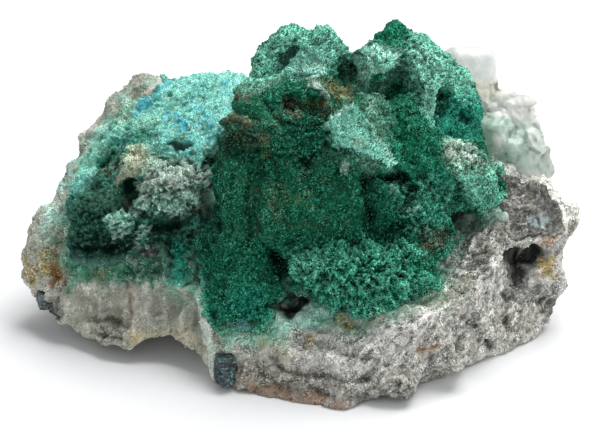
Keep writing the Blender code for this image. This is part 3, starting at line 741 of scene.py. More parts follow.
MASS_PAINT = (
    # broad tones of the front
    ("moss", 0.4, 2.5, 0.6, (
        (-5.4, 6.6), (-1, 7.4), (4, 5), (7.4, 3), (7.4, -1), (4, -3.4), (0, -4), (-4, -3), (-5, 1),
    )),
    ("moss", 0.5, 1.0, 0.5, ((-10.2, 7.6), (-5.6, 8), (-5.4, 2), (-6, -3), (-10.4, -3), (-10.8, 1))),
    ("forest", 0.5, 0.6, 0.5, ((-6.4, 4.6), (-5, 4.4), (-4.8, -3), (-6.6, -3.4))),
    ("forest", 0.6, 0.9, 0.5, (
        (-3, 12.4), (2.4, 13), (3.4, 11.4), (0, 10), (-4, 9.8), (-9.8, 10.4), (-9.6, 8), (-5, 8),
        (-3.6, 10),
    )),
    ("velvet", 0.6, 0.8, 0.9, (
        (-12.4, -9.2), (-12, -5), (-9, -4), (-4, -5), (-3, -8), (-3, -12.6), (0.4, -12.6), (-1, -15.4),
        (-9.5, -15.8), (-12, -13.6),
    )),
    ("teal", 0.35, 0.8, 1.0, ((-9, -9), (-4, -9), (-3.4, -13), (-8, -13), (-11, -12))),
    ("moss", 0.85, 0.6, 1.0, (
        (-10.6, -13.6), (-8, -13.9), (-4, -14.2), (-1, -13.6), (-1, -16), (-5, -16.4), (-9.8, -16.2),
    )),
    ("plum", 0.6, 0.4, 1.0, ((-8.8, -13.8), (-6.6, -13.4), (-6.2, -14.6), (-8.4, -15))),
    # ledge head
    # pale rim of the ledge head: its own stain, with painted highlight along its top edge
    ("stained", 0.4, 0.25, 0.6, (
        (-9.4, 15.4), (-7, 16.2), (-3.4, 17.1), (-1.4, 18.4), (-2.2, 16.6), (-5, 15.6), (-8.4, 14.9),
    )),
    ("moss", 0.8, 0.35, 0.4, (
        (-9.4, 14.8), (-5.4, 14.9), (-4.6, 13.8), (-2.8, 12.6), (-4.8, 11.7), (-7, 12.4), (-10.2, 12.6),
    )),
    ("umber", 0.5, 0.3, 0.9, ((-9.6, 15.0), (-8.2, 15.2), (-7.6, 14.4), (-9.2, 14.1))),
    ("wine", 0.3, 0.4, 0.5, (
        (-10.4, 12.7), (-9.0, 12.9), (-6.6, 11.8), (-5.0, 11.4), (-6, 10.9), (-10.2, 11.2),
    )),
    ("umber", 0.4, 0.6, 0.6, ((-10, 11.0), (-5, 10.9), (-3.4, 9.2), (-5, 8.2), (-9.6, 8.6))),
    # painted shade in the cavity behind the ledge
    ("shade_black", 0.5, 0.35, 0.8, LEDGE_CAVITY),
    ("umber", 0.95, 0.35, 0.8, LEDGE_CAVITY),
    ("rust", 0.2, 0.25, 1.0, ((-4.9, 9.7), (-3.7, 9.5), (-3.9, 8.3), (-4.9, 8.2))),
    ("rust", 0.5, 0.25, 1.0, ((-5.2, 7.5), (-4.0, 7.7), (-4.2, 6.9), (-5.0, 6.8))),
    # painted shade in a pit below the folds
    ("shade_black", 0.8, 0.3, 0.8, ((-0.1, 7.5), (1.8, 7.7), (1.2, 6.0), (0.4, 5.0))),
    # left peak
    ("mint", 0.95, 0.8, 1.4, (
        (-6.6, 16.6), (-5.4, 20.4), (-4, 22.4), (-1, 25), (4.6, 24), (6.8, 20.4), (4.2, 18.2), (1.0, 18.0),
        (-3.4, 17.4),
    )),
    ("mint", 0.7, 0.8, 1.5, ((-2, 22.6), (0, 24.4), (4, 23.6), (5.6, 21.4), (3, 21.2), (0, 21.4))),
    ("mint", 0.85, 0.5, 1.2, ((-6.4, 16.2), (-5.2, 19.4), (-4, 20.6), (-3.4, 18.6), (-3.9, 17.2))),
    ("aqua", 1.0, 0.8, 0.8, (
        (-1.9, 17.7), (-0.2, 20.2), (2.0, 21.2), (4.0, 20.4), (4.3, 18.4), (2.6, 17.6), (0.8, 18.0),
    )),
    ("pale_mint", 1.0, 0.5, 0.7, (
        (-1.2, 18.2), (0.4, 19.4), (2.6, 19.8), (3.6, 18.8), (2.6, 17.8), (0.8, 18.3),
    )),
    ("frost", 1.0, 0.4, 1.2, (
        (0.8, 17.2), (2.2, 17.7), (3.0, 16.7), (3.2, 15.8), (2.0, 15.9), (1.2, 16.4),
    )),
    ("white", 1.0, 0.4, 0.4, ((2.1, 15.4), (3.4, 15.2), (3.2, 14.2), (2.3, 14.3))),
    # valley
    ("jade", 0.6, 0.5, 1.0, ((3.1, 18.5), (5.2, 19.4), (5.0, 17.2), (3.3, 17.0))),
    ("slate_green", 0.6, 0.5, 1.0, ((5.1, 19.2), (8.0, 18.9), (8.5, 16.8), (7.2, 15.5), (5.4, 16.9))),
    ("stained", 0.7, 0.5, 1.1, (
        (2.6, 17.1), (5.0, 17.0), (6.6, 15.4), (5.8, 14.0), (4.2, 14.6), (3.0, 15.6),
    )),
    ("ochre", 0.6, 0.4, 1.1, (
        (3.0, 16.9), (4.4, 16.7), (5.7, 16.2), (6.4, 15.2), (5.8, 14.5), (4.4, 15.2), (3.4, 15.7),
    )),
    ("umber", 0.5, 0.4, 1.0, (
        (1.6, 13.9), (3.6, 13.8), (5.4, 14.4), (7.6, 15.4), (6.6, 14.2), (3.4, 12.8), (1.4, 13.0),
    )),
    ("mint", 0.8, 0.5, 0.9, ((7.6, 15.5), (10, 17), (12.6, 18.2), (13.0, 17.2), (10.4, 15.8), (8.2, 15.0))),
    # right peak
    ("white", 1.0, 0.8, 0.8, (
        (6.8, 18.8), (7.6, 20.8), (9.5, 21.4), (12.2, 20.2), (12.4, 18.8), (10.4, 18.0), (8.4, 17.2),
    )),
    ("pale_mint", 1.0, 0.5, 0.8, (
        (6.4, 19.0), (7.4, 21.2), (9.5, 21.8), (12.6, 20.6), (13.0, 18.8), (11.4, 17.9), (9.6, 17.2),
        (8.2, 16.4), (7.7, 17.5),
    )),
    ("lobe", 0.4, 0.6, 1.0, ((9.4, 20.0), (12.2, 19.6), (12.6, 18.4), (9.8, 18.0))),
    ("jade", 0.8, 0.4, 1.0, (
        (8.9, 21.4), (9.6, 23.4), (11.3, 25.4), (14.4, 23.4), (13.4, 21.6), (11.6, 20.9),
    )),
    ("mint", 1.0, 0.8, 1.1, (
        (13, 22), (14.5, 24), (17.4, 22.2), (19.6, 20), (19.4, 17), (18.2, 15.4), (17.6, 12), (16.4, 11.4),
        (14, 15), (12.9, 17.6),
    )),
    ("pale_mint", 0.4, 0.6, 1.4, (
        (13.2, 20.8), (15, 21.6), (17.6, 20.6), (18.2, 18), (17.2, 16), (16.9, 12.6), (15.4, 13.4),
        (14.4, 16.4),
    )),
    ("mint", 0.9, 0.6, 1.3, (
        (18.8, 18.8), (21.6, 18.8), (21.8, 16), (22.8, 15), (20.6, 13.8), (19.0, 15.4),
    )),
    ("sea", 0.6, 0.8, 1.2, ((18.4, 15.0), (22.8, 15.6), (24, 12.6), (22.6, 9.6), (18.6, 9.8), (17.6, 12))),
    ("teal", 0.5, 0.4, 1.0, ((17.9, 12.8), (19.2, 12.8), (19.0, 11.4), (18.0, 11.4))),
    ("jade", 0.7, 0.8, 1.0, (
        (11.8, 15.8), (14.4, 15.4), (15.6, 13), (16.6, 11), (17.8, 9), (16, 5), (13, 5.6), (12, 9),
        (12, 12),
    )),
    # pale lump in front
    ("mint", 1.0, 0.3, 0.7, (
        (2.9, 11.3), (3.4, 12.4), (5.0, 13.2), (6.6, 14.0), (7.7, 12.9), (8.6, 11.4), (9.4, 9.9),
        (11.1, 8.2), (12.1, 6.4), (11.6, 5.5), (10.2, 5.8), (9.2, 6.7), (8.2, 7.5), (7.0, 7.5), (6.0, 7.9),
        (4.2, 8.3), (3.1, 9.4),
    )),
    ("mint", 0.5, 0.8, 0.7, (
        (3.4, 11.4), (5.2, 12.6), (7.4, 11.2), (9.0, 9.4), (11.6, 6.4), (9.4, 7.4), (6.4, 8.6), (3.8, 9.4),
    )),
    ("sand", 0.4, 0.3, 0.9, ((6.4, 9.4), (8.2, 9.6), (8.0, 8.6), (6.6, 8.7))),
    ("slate_green", 0.6, 0.3, 1.0, (
        (6.7, 13.9), (8.2, 15.5), (10.2, 15.4), (11.3, 13.8), (11.9, 11.4), (11.0, 9.5), (10, 9.6),
        (9, 10.6), (8.2, 12.4),
    )),
    ("stained", 0.5, 0.3, 1.1, ((8.4, 14.8), (9.8, 14.8), (9.8, 12.4), (8.8, 12.8))),
    ("umber", 0.5, 0.25, 1.0, ((10.2, 11.4), (10.9, 11.2), (10.7, 10.2), (10.1, 10.4))),
    # slate green on the lower side of the pale lump is painted shade
    ("slate_green", 0.3, 0.5, 0.7, (
        (2.8, 9.0), (4.2, 8.2), (6.2, 7.7), (7.7, 7.2), (7.6, 5.4), (5, 5.8), (2.4, 7.4),
    )),
    ("slate_green", 0.8, 0.3, 1.2, ((7.7, 7.1), (9.2, 6.7), (10.4, 5.6), (9.2, 4.9), (8.0, 5.2))),
    # painted shade under the pale lump and in the crevice below it
    ("shade_black", 0.85, 0.3, 0.8, ((9.3, 5.1), (11.6, 5.3), (13.8, 4.8), (12.8, 3.8), (10.6, 3.9))),
    ("shade_black", 0.5, 0.4, 0.8, ((7.8, 5.2), (8.9, 5.2), (9.2, -0.6), (8.3, -0.8))),
    ("moss", 0.5, 0.3, 1.1, ((12.4, 13.6), (13.8, 13.4), (15.6, 9.6), (14.8, 8.8), (13.2, 11.0))),
    ("velvet", 0.8, 0.5, 1.0, ((9.2, 4.0), (11.4, 3.6), (13.2, 2), (12.6, -1), (10, -2), (9.0, 0))),
    ("frost", 0.5, 0.15, 1.1, ((5.0, 5.3), (5.4, 6.6), (6.2, 6.1), (5.8, 5.1))),
    ("stained", 0.5, 0.15, 1.1, ((11.0, 3.7), (12.4, 3.5), (12.2, 2.8), (11.2, 3.0))),
    ("frost", 0.6, 0.20, 1.2, ((12.8, 0.3), (14.4, 1.8), (15.0, 0.8), (13.6, -0.1))),
    # right lumps
    ("mint", 0.6, 1.0, 0.9, ((19.6, 6.4), (25.8, 6), (26.4, 3), (24.6, 0.6), (21.2, 0.8), (20, 2.4))),
    ("stained", 0.6, 0.6, 1.2, (
        (17.8, 8.9), (19.4, 9.9), (20.6, 9.6), (25.6, 5.9), (23.4, 5.2), (21.4, 5.4), (20.2, 4.4),
        (18.6, 5.8),
    )),
    ("cream", 0.5, 0.4, 1.3, (
        (18.0, 8.6), (19.4, 9.4), (20.6, 8.8), (23.2, 6.6), (21.8, 6.4), (19.4, 6.4),
    )),
    ("sea", 0.35, 0.8, 1.3, ((14, 5), (19, 5), (20.4, 1), (19.6, -1.6), (15, -3.6), (13.4, 0))),
    ("umber", 1.0, 0.5, 1.0, ((14.6, -1.8), (18.6, -1.4), (19.6, -3.0), (15.6, -5.2))),
    ("wine", 0.9, 0.4, 1.0, ((16.0, -3.4), (18.4, -3.2), (18.2, -4.2), (16.2, -4.4))),
    # frilly lobe
    ("lobe", 1.0, 0.6, 1.8, LOBE),
    ("mint", 0.3, 0.6, 1.8, ((-1.8, -5.4), (0.4, -4.4), (3, -4.6), (4, -6.4), (2, -8.6), (-0.6, -7.6))),
    ("lobe", 0.15, 0.8, 1.8, ((7, -5), (12, -3.6), (13.6, -5.2), (10, -6.4))),
    # painted shade in the groove along the lobe's left edge
    ("forest", 0.7, 0.3, 0.7, (
        (-4.6, -3.8), (-3.2, -4.2), (-1.8, -6.2), (-0.6, -8.6), (-1.8, -8.8), (-3.4, -6.6),
    )),
    # painted shade in the hole beside the lobe
    ("shade_black", 0.85, 0.35, 0.6, ((-3.3, -11.6), (-1.6, -10.2), (1.4, -10.0), (1.2, -11.0), (-1.4, -12.3))),
)
MASS_VEINS = (
    # near-black lines are painted shade along crevices and grooves and under the lumps
    ("shade_black", 1.20, 0.5, ((14.8, -2.4), (17.0, -2.6), (19.0, -2.6))),
    ("slate_green", 1.30, 0.6, ((-9.6, -14.6), (-6.0, -15.0), (-2.0, -14.8))),
    ("shade_black", 1.20, 0.9, ((-10.8, 7.2), (-11.2, 4.6), (-11.5, 2.2), (-12.2, -0.6), (-12.8, -3.0))),
    ("wine", 0.30, 0.8, ((-10.0, 13.6), (-9.4, 14.6), (-8.0, 15.0), (-6.4, 14.3))),
    ("copper", 0.25, 0.4, ((-10.4, 12.2), (-9.4, 12.7), (-7.4, 12.2), (-6.2, 11.6))),
    ("shade_black", 0.35, 0.6, ((-5.2, 8.0), (-5.0, 5.0), (-5.6, 1.0), (-5.0, -2.6))),
    ("shade_black", 0.30, 0.5, ((3.2, 7.4), (4.6, 5.4), (5.2, 3.0))),
    ("umber", 0.50, 0.5, ((-3.8, 4.6), (-3.6, 1.4), (-2.4, -1.0))),
    # painted highlight along the rim of the ledge head
    ("mint", 0.18, 0.5, ((-9.6, 15.4), (-6.4, 16.4), (-4.6, 16.7), (-2.8, 17.2), (-1.2, 18.4))),
    ("slate_green", 0.25, 0.6, ((-10.2, 12.8), (-8.0, 12.7), (-6.2, 12.1), (-4.6, 11.8))),
    ("wine", 0.20, 0.4, ((-9.8, 11.8), (-7.6, 11.8), (-5.6, 11.2))),
    ("wine", 0.20, 0.4, ((-5.4, 12.4), (-4.0, 11.4), (-2.6, 11.2))),
    ("shade_black", 0.30, 0.7, ((-4.8, 14.2), (-3.2, 12.6), (-2.0, 11.5), (0.6, 11.0))),
    ("jade", 0.25, 0.6, ((-4.2, 8.9), (-1.4, 9.5), (0.8, 9.8), (2.4, 11.0))),
    ("shade_black", 0.25, 0.6, ((-5.6, 7.8), (-3.4, 8.1), (-1.0, 8.2), (1.4, 9.2))),
    ("ochre", 0.22, 0.6, ((3.2, 15.4), (4.8, 14.6), (6.4, 14.9))),
    ("rust", 0.22, 0.6, ((0.4, 14.2), (2.4, 13.8), (4.6, 14.3))),
    # pale lines on the upper edge and the ridge of the pale lump are painted highlights
    ("frost", 0.22, 0.7, ((3.0, 11.6), (4.9, 13.2), (6.6, 13.9))),
    ("frost", 0.20, 0.6, ((8.0, 12.2), (9.6, 9.8), (11.8, 6.6))),
    ("frost", 0.25, 0.8, ((17.8, 9.0), (19.6, 9.8), (21.6, 8.6), (23.6, 7.2), (25.6, 5.8))),
    ("shade_black", 0.35, 0.8, ((9.0, 4.8), (10.8, 4.7), (12.6, 4.8), (13.8, 4.4))),
    ("shade_black", 0.30, 0.8, ((17.6, 15.4), (17.5, 13.8), (17.9, 11.8))),
    ("umber", 0.30, 0.7, ((15.6, -1.6), (16.0, -3.0), (15.4, -4.6))),
)
MASS_BANDS = (
    ("forest", 120.0, 0.8, 0.45, 0.10, 0.8, (
        (17.6, 9.0), (20.6, 9.6), (24.4, 6.2), (22.0, 4.6), (18.4, 5.6),
    )),
    # near-black streaks are painted shade among the folds, lumps and crevices
    ("shade_black", 60.0, 0.8, 0.5, 0.20, 0.7, ((8, 5), (13, 5), (20, 6), (20, -3), (14, -4), (8, -2))),
    ("shade_black", 40.0, 1.0, 0.6, 0.25, 0.6, ((12, 24), (20, 21), (24, 14), (18, 9), (12, 14))),
    ("shade_black", 24.0, 3.0, 0.5, 0.10, 0.5, ((-6, 7), (-10, 9), (-10, 14), (-2, 14), (3, 12), (2, 9))),
    ("moss", 80.0, 4.0, 0.7, 0.05, 0.5, ((-11, 8), (-5, 8), (-4, -4), (-12, -6))),
)
MASS_FRILLS = (
    (0.75, 0.6, LOBE),
    (0.15, 1.0, (
        (-5.4, 18.4), (-4, 22.4), (-1, 25), (4.6, 24), (6.8, 20.4), (4.2, 18.2), (1.0, 18.0), (-1.4, 18.4),
    )),
    (0.15, 1.0, (
        (6.4, 19.0), (7.4, 21.2), (13, 22.6), (17.4, 22.2), (19.6, 18), (18.2, 15.4), (17.4, 12.4),
        (15, 14), (12, 18), (8.2, 17),
    )),
    (0.4, 0.8, ((12.4, 3.6), (16, 5), (20, 3.6), (20.4, 0.4), (18.4, -1.6), (14, -3.0), (12.4, -1.0))),
)
MASS_SPECKS = (
    (0.25, 2.0, ((-9, 9), (-4, 9), (2, 9), (8, 4), (8, -2), (0, -3), (-8, -2))),
    (0.35, 1.0, ((-6, 13.6), (-1, 13.6), (4, 14.6), (3.4, 12), (-3, 10), (-9, 9))),
    (0.7, 1.4, ((-3.4, 5.6), (0.6, 5.2), (3.4, 2.8), (3.2, -0.6), (0.4, -0.8), (-2.6, 2.4))),
    (0.5, 1.5, ((-10, 8), (-4, 8), (-5, 4), (-9.6, 4))),
    (0.8, 0.8, ((-5.4, 9.8), (-3, 9.8), (-3.6, 7), (-5.4, 6.8))),
    (1.0, 0.6, ((3.0, 17), (6.4, 16.2), (6.8, 14.6), (4, 14.6))),
    (0.5, 0.8, ((-9.8, 13), (-5, 13), (-5, 10.6), (-10, 10.8))),
    (0.4, 1.0, ((14, -3), (18, -3), (18, -5), (14.6, -5.4))),
    (0.5, 1.0, ((9, 16.4), (12.6, 17.6), (12.8, 16.4), (10, 15.4))),
)
MASS_MELT = (
    (70, (
        (-9.8, 8.1), (-4.8, 9.6), (3.8, 10.0), (7.4, 6.4), (7.8, -2.6), (0, -4.4), (-5.2, -4.9),
        (-9, -3.1),
    )),
    (160, ((-11, 14.9), (-6, 15.6), (-3.0, 15.2), (-3.0, 12.0), (-6, 10.6), (-11, 10.8))),
    (260, ((0.8, 16.8), (4.2, 16.6), (4.8, 13.2), (1.0, 13.0))),
)
MASS = dict(
    PLAIN, voxel=MASS_VOXEL, ease=5, seed=11.0, bias=-0.3, touch=0.35, ragged=0.45, relief=1.0,
    neighbours=("host_rock", "brochantite_crust_left", "quartz_crystals"),
    colour="velvet",
    tones=(("jade", 5.0, 0.05, 0.6), ("moss", 3.0, 0.1, 0.4), ("forest", 4.0, 0.2, 0.6)),
    strokes=MASS_STROKES, paint=MASS_PAINT, veins=MASS_VEINS, bands=MASS_BANDS, frills=MASS_FRILLS,
    specks=MASS_SPECKS, melt=MASS_MELT,
    coral=(1.1, "forest", "spring", 0.9, 30.0, 1.3),
    seams=(("sea", ("host_rock",), 0.2, 2.6, 0.4), ("stained", ("host_rock",), 0.2, 1.5, 0.6)),
    layers=(
        (5.0, 0.40, ridges, 12.0),
        (2.6, 0.45, plain, 1.3),
        (1.1, 0.36, cells, 2.6),
        (0.7, 0.18, ridges, 4.2),
        (0.45, 0.24, plain, 8.8),
    ),
    pit=0.65, deep=0.65, crest=0.2, swell=0.14, crest_highlight="spring", grit=0.5,
)

# Left crust: turquoise slope over a dark green mass with frilly bands and a beige block
BEIGE_BLOCK = (
    (-22.9, 4.4), (-21.8, 7.2), (-21.3, 8.9), (-19.7, 8.2), (-18.4, 7.4), (-19.6, 6.0), (-20, 5),
    (-21.6, 4.2),
)
TURQUOISE_LUMP = ((-15.9, -3.2), (-14.2, -3.4), (-13.7, -8.2), (-15.8, -8.4))
CRUST_TOP = ((-30, 3), (-19, 19), (-8, 19), (-9, 10), (-18, 10), (-24, 6))
CRUST_STROKES = (
    # holes, and the gap under the overhang
    (-0.6, 0.35, ((-16.2, 8.9), (-15.0, 8.6), (-14.1, 8.8))),
    (-0.4, 0.60, ((-21.6, 4.0), (-20.6, 2.8), (-20.9, 1.4))),
    (-0.4, 0.60, ((-19.2, -1.2), (-16.6, -1.6), (-14.2, -0.6), (-13.2, 0.6))),
    (-1.0, 0.55, ((-13.2, 6.1), (-12.2, 5.9), (-11.2, 6.6))),
    (-0.8, 0.55, ((-28.6, -4.2), (-24.0, -4.4), (-19.0, -4.4), (-16.2, -5.0))),
    (-0.6, 0.50, ((-12.4, 3.0), (-11.4, 1.6), (-12.2, -0.6))),
    # frilly bands
    (0.6, 0.30, ((-19.8, 3.4), (-17.0, 4.4), (-14.2, 5.5), (-12.2, 6.0))),
    (0.6, 0.35, ((-20.6, 1.4), (-18.6, 0.7), (-15.0, 0.8), (-12.9, 2.0))),
    (0.5, 0.35, ((-24.2, -0.6), (-22.4, -0.2), (-21.0, 0.6))),
    (0.5, 0.35, ((-22.6, 4.8), (-21.4, 8.4), (-19.4, 8.0))),
    # cuts in the slope, and a lump at its foot
    (-0.5, 0.40, ((-24.6, 8.2), (-22.8, 9.8), (-21.4, 11.0))),
    (-0.4, 0.40, ((-27.8, 3.4), (-25.4, 5.6), (-23.6, 8.0))),
    (0.5, 0.50, ((-19.6, -1.2), (-19.4, -3.8))),
)
CRUST_PAINT = (
    # left mass
    ("velvet", 0.84, 0.8, 1.3, (
        (-30.6, 1.6), (-29.4, 2.4), (-26.6, 4.2), (-24.4, 7.4), (-22.8, 10.4), (-20.2, 11.4),
        (-18.4, 10.6), (-16, 9.4), (-14, 7.4), (-12.6, 5.6), (-10.2, 7.0), (-9.8, -2), (-12.4, -8.4),
        (-16.4, -8.4), (-20, -7.2), (-29.4, -5.2), (-30, -1.4),
    )),
    ("jade", 0.8, 0.5, 1.2, (
        (-25.8, 5.2), (-24.6, 8.4), (-22.6, 10.8), (-20, 11.6), (-16.4, 9.8), (-17.6, 8.6), (-20, 9),
        (-22.4, 7.8), (-23.6, 6),
    )),
    ("stained", 0.5, 1.2, 0.8, ((-24, 12), (-22.4, 16), (-18, 16.6), (-16, 14), (-18, 11.4), (-22, 9.6))),
    ("aqua", 1.0, 0.6, 1.2, (
        (-20.6, 9.4), (-18, 10.2), (-16.4, 9.4), (-13.6, 7.6), (-15.4, 6.4), (-19, 7.4),
    )),
    ("forest", 0.85, 0.7, 1.2, (
        (-28.6, 1.0), (-25.0, 3.0), (-22.0, 2.0), (-19.0, -1.0), (-13.0, -1.6), (-13.4, -6.0), (-20, -5.4),
        (-28.6, -4.4),
    )),
    ("slate_green", 0.4, 0.6, 1.1, (
        (-25.6, 4.6), (-22.6, 4), (-22, 1), (-25, 0.2), (-28, 0.6), (-27.6, 3),
    )),
    # beige block and frilly bands
    ("stained", 0.6, 0.4, 1.4, (
        (-23.0, 4.4), (-21.8, 7.4), (-21.3, 9.1), (-19.0, 8.4), (-17.4, 7.4), (-18.6, 5.6), (-21.6, 4.0),
    )),
    ("bone", 0.85, 0.5, 1.4, BEIGE_BLOCK),
    ("frost", 0.7, 0.5, 2.0, ((-19.6, 6.0), (-18.4, 7.2), (-15.6, 7.0), (-14.4, 6.2), (-17, 5.4))),
    ("cream", 0.7, 0.8, 1.4, (
        (-20.2, 3.0), (-19.4, 5.0), (-16.4, 6.4), (-14, 7.0), (-10.8, 5.4), (-11.4, 3.8), (-13, 4.1),
        (-15, 3.1), (-19.6, 2.7),
    )),
    ("pale_mint", 0.8, 0.8, 1.4, (
        (-20.9, 0.8), (-20, 2.6), (-15, 2.8), (-12.8, 4.0), (-12.3, 1.6), (-15, 0.2), (-18.8, 0.8),
    )),
    ("mint", 0.8, 0.5, 1.4, (
        (-24.4, -0.3), (-21.2, 0.2), (-20.2, 1.0), (-20.8, -0.8), (-22, -2.7), (-23.6, -1.9),
    )),
    ("mint", 0.6, 0.25, 1.3, ((-20.3, -1.4), (-18.9, -1.1), (-18.9, -4), (-20.2, -4.2))),
    # turquoise lumps, and painted shade in the holes, in the crevice at the right and in the gap under the
    # overhang
    ("teal", 0.5, 0.4, 1.0, ((-15, 8.4), (-11.4, 8.6), (-11.4, 7), (-13, 6.0), (-14.6, 6.6))),
    ("lobe", 0.4, 0.4, 1.2, TURQUOISE_LUMP),
    ("teal", 0.6, 0.4, 1.2, TURQUOISE_LUMP),
    ("shade_black", 0.35, 0.25, 0.5, ((-16.5, 9.2), (-13.6, 9.2), (-14.6, 8.2), (-16, 8.1))),
    ("shade_black", 0.5, 0.4, 0.5, ((-21.8, 4.2), (-20.2, 4.8), (-20, 2.6), (-21.0, 1.6), (-22.2, 2.4))),
    ("shade_black", 0.6, 0.5, 0.6, ((-19.6, 0), (-15, -0.2), (-12.8, 1.0), (-13.4, -1.4), (-18.6, -3.0))),
    ("shade_black", 0.8, 0.8, 0.9, (
        (-30.4, -2.2), (-21, -2.8), (-15.9, -3), (-16.2, -7.4), (-22, -6.8), (-30.4, -6.2),
    )),
    ("shade_black", 0.7, 0.4, 0.8, (
        (-12.8, 6.2), (-11.0, 7.2), (-10.4, 4.6), (-10.8, 1), (-12.2, 0.8), (-11.6, 3.6),
    )),
    # rust and blue
    ("umber", 0.85, 0.3, 1.0, ((-24.8, 5.6), (-23.4, 6.6), (-22.8, 6), (-24.0, 4.9))),
    ("sky", 0.6, 0.5, 1.0, (
        (-20.6, 13.2), (-18.6, 15.6), (-16.6, 17.2), (-15.9, 16.6), (-17.6, 14.6), (-19, 13.2),
    )),
    ("blue", 0.6, 0.4, 1.0, ((-15.9, 12.6), (-14.4, 12.4), (-13.9, 10.4), (-15.2, 10.2))),
    ("aqua", 0.6, 0.8, 1.0, (
        (-13.6, 13.6), (-10, 14.4), (-9.4, 11), (-9.8, 9.4), (-12.4, 8.8), (-13.6, 10.6),
    )),
    ("sand", 0.7, 0.6, 1.0, ((-25, 11.4), (-21, 17), (-18.4, 17.8), (-19.6, 15.0), (-22.6, 11.6))),
    ("slate_green", 0.4, 0.6, 1.0, ((-13.4, 16.4), (-10.4, 16.6), (-10, 15.4), (-13, 15))),
)
CRUST_VEINS = (
    # near-black lines are painted shade in the crevice at the right edge and in the gaps between the frilly
    # bands
    ("shade_black", 0.80, 0.7, ((-11.4, 7.2), (-11.6, 4.6), (-12.0, 2.2), (-12.8, -0.6), (-13.4, -3.0))),
    ("blue", 0.30, 0.6, ((-20.8, 12.6), (-19.0, 14.6), (-16.8, 16.6))),
    ("blue", 0.30, 0.5, ((-15.7, 12.2), (-14.6, 11.6), (-14.4, 10.6))),
    ("shade_black", 0.30, 0.7, ((-20.6, 2.2), (-18.0, 2.5), (-15.4, 2.8), (-13.4, 3.9), (-11.6, 3.6))),
    ("shade_black", 0.25, 0.6, ((-16.6, 3.9), (-15.8, 5.0))),
    ("shade_black", 0.25, 0.6, ((-13.4, 4.4), (-12.8, 5.4))),
    ("shade_black", 0.25, 0.6, ((-18.4, 0.6), (-17.6, 1.8))),
    ("shade_black", 0.25, 0.6, ((-15.4, 0.6), (-15.0, 2.0))),
    ("sky", 0.40, 0.5, ((-12.8, 13.8), (-11.4, 12.0), (-10.8, 10.0))),
    ("forest", 0.45, 0.7, ((-26.2, 2.6), (-24.6, 6.4), (-22.6, 9.4), (-20.0, 10.6), (-18.0, 10.0))),
    ("cream", 0.30, 0.5, ((-19.0, 4.8), (-16.4, 5.9), (-13.6, 6.4), (-11.4, 5.4))),
    ("cream", 0.25, 0.5, ((-20.4, 1.8), (-17.8, 2.2), (-15.0, 2.4), (-13.2, 3.4))),
    ("rust", 0.25, 0.6, ((-21.6, 2.0), (-21.0, 1.0), (-20.8, 0.4))),
)
CRUST_BANDS = (
    ("sea", 55.0, 1.8, 0.5, 0.15, 0.6, CRUST_TOP),
    ("sky", 48.0, 3.0, 0.7, 0.15, 0.5, ((-24, 8), (-19, 18), (-8, 19), (-9, 8), (-14, 7), (-18, 10))),
    ("pale_mint", 48.0, 3.0, 0.6, 0.10, 0.4, CRUST_TOP),
)
CRUST_FRILLS = (
    (0.8, 0.6, (
        (-20, 3.0), (-19, 5.2), (-16.4, 6.9), (-14, 7.2), (-10.6, 5.6), (-11.4, 3.4), (-13, 3.6),
        (-15, 2.6), (-19.8, 2.3),
    )),
    (0.9, 0.6, (
        (-21.0, 0.4), (-20, 2.6), (-15, 2.8), (-12.6, 4.2), (-11.8, 1.4), (-15, -0.1), (-18.8, 0.3),
    )),
    (0.9, 0.4, ((-24.6, -0.2), (-21.2, 0.4), (-20.2, 1.0), (-20.6, -0.8), (-22, -2.9), (-23.8, -1.9))),
    (0.9, 0.4, ((-20.5, -1.4), (-18.7, -1.0), (-18.7, -4), (-20.4, -4.2))),
    (0.35, 0.5, BEIGE_BLOCK),
)
CRUST = dict(
    PLAIN, voxel=CRUST_VOXEL, ease=5, seed=29.0, bias=-0.3, touch=0.35, ragged=0.45, relief=0.8,
    neighbours=("host_rock", "brochantite_mass", "quartz_crystals"),
    colour="aqua",
    tones=(("stained", 4.0, 0.0, 0.5), ("turquoise", 2.4, 0.2, 0.5), ("mint", 6.0, 0.1, 0.5)),
    strokes=CRUST_STROKES, paint=CRUST_PAINT, veins=CRUST_VEINS, bands=CRUST_BANDS, frills=CRUST_FRILLS,
    coral=(0.85, "velvet", "frost", 0.6, 24.0, 3.4),
    seams=(("slate_green", ("host_rock",), 0.2, 1.6, 0.5),),
    layers=(
        (2.4, 0.36, plain, 1.3),
        (1.4, 0.30, flakes, 2.6),
        (0.8, 0.26, ridges, 4.2),
        (0.45, 0.20, plain, 8.8),
    ),
    pit=0.6, deep=0.6, crest=0.16, swell=0.12, crest_highlight="mint",
)
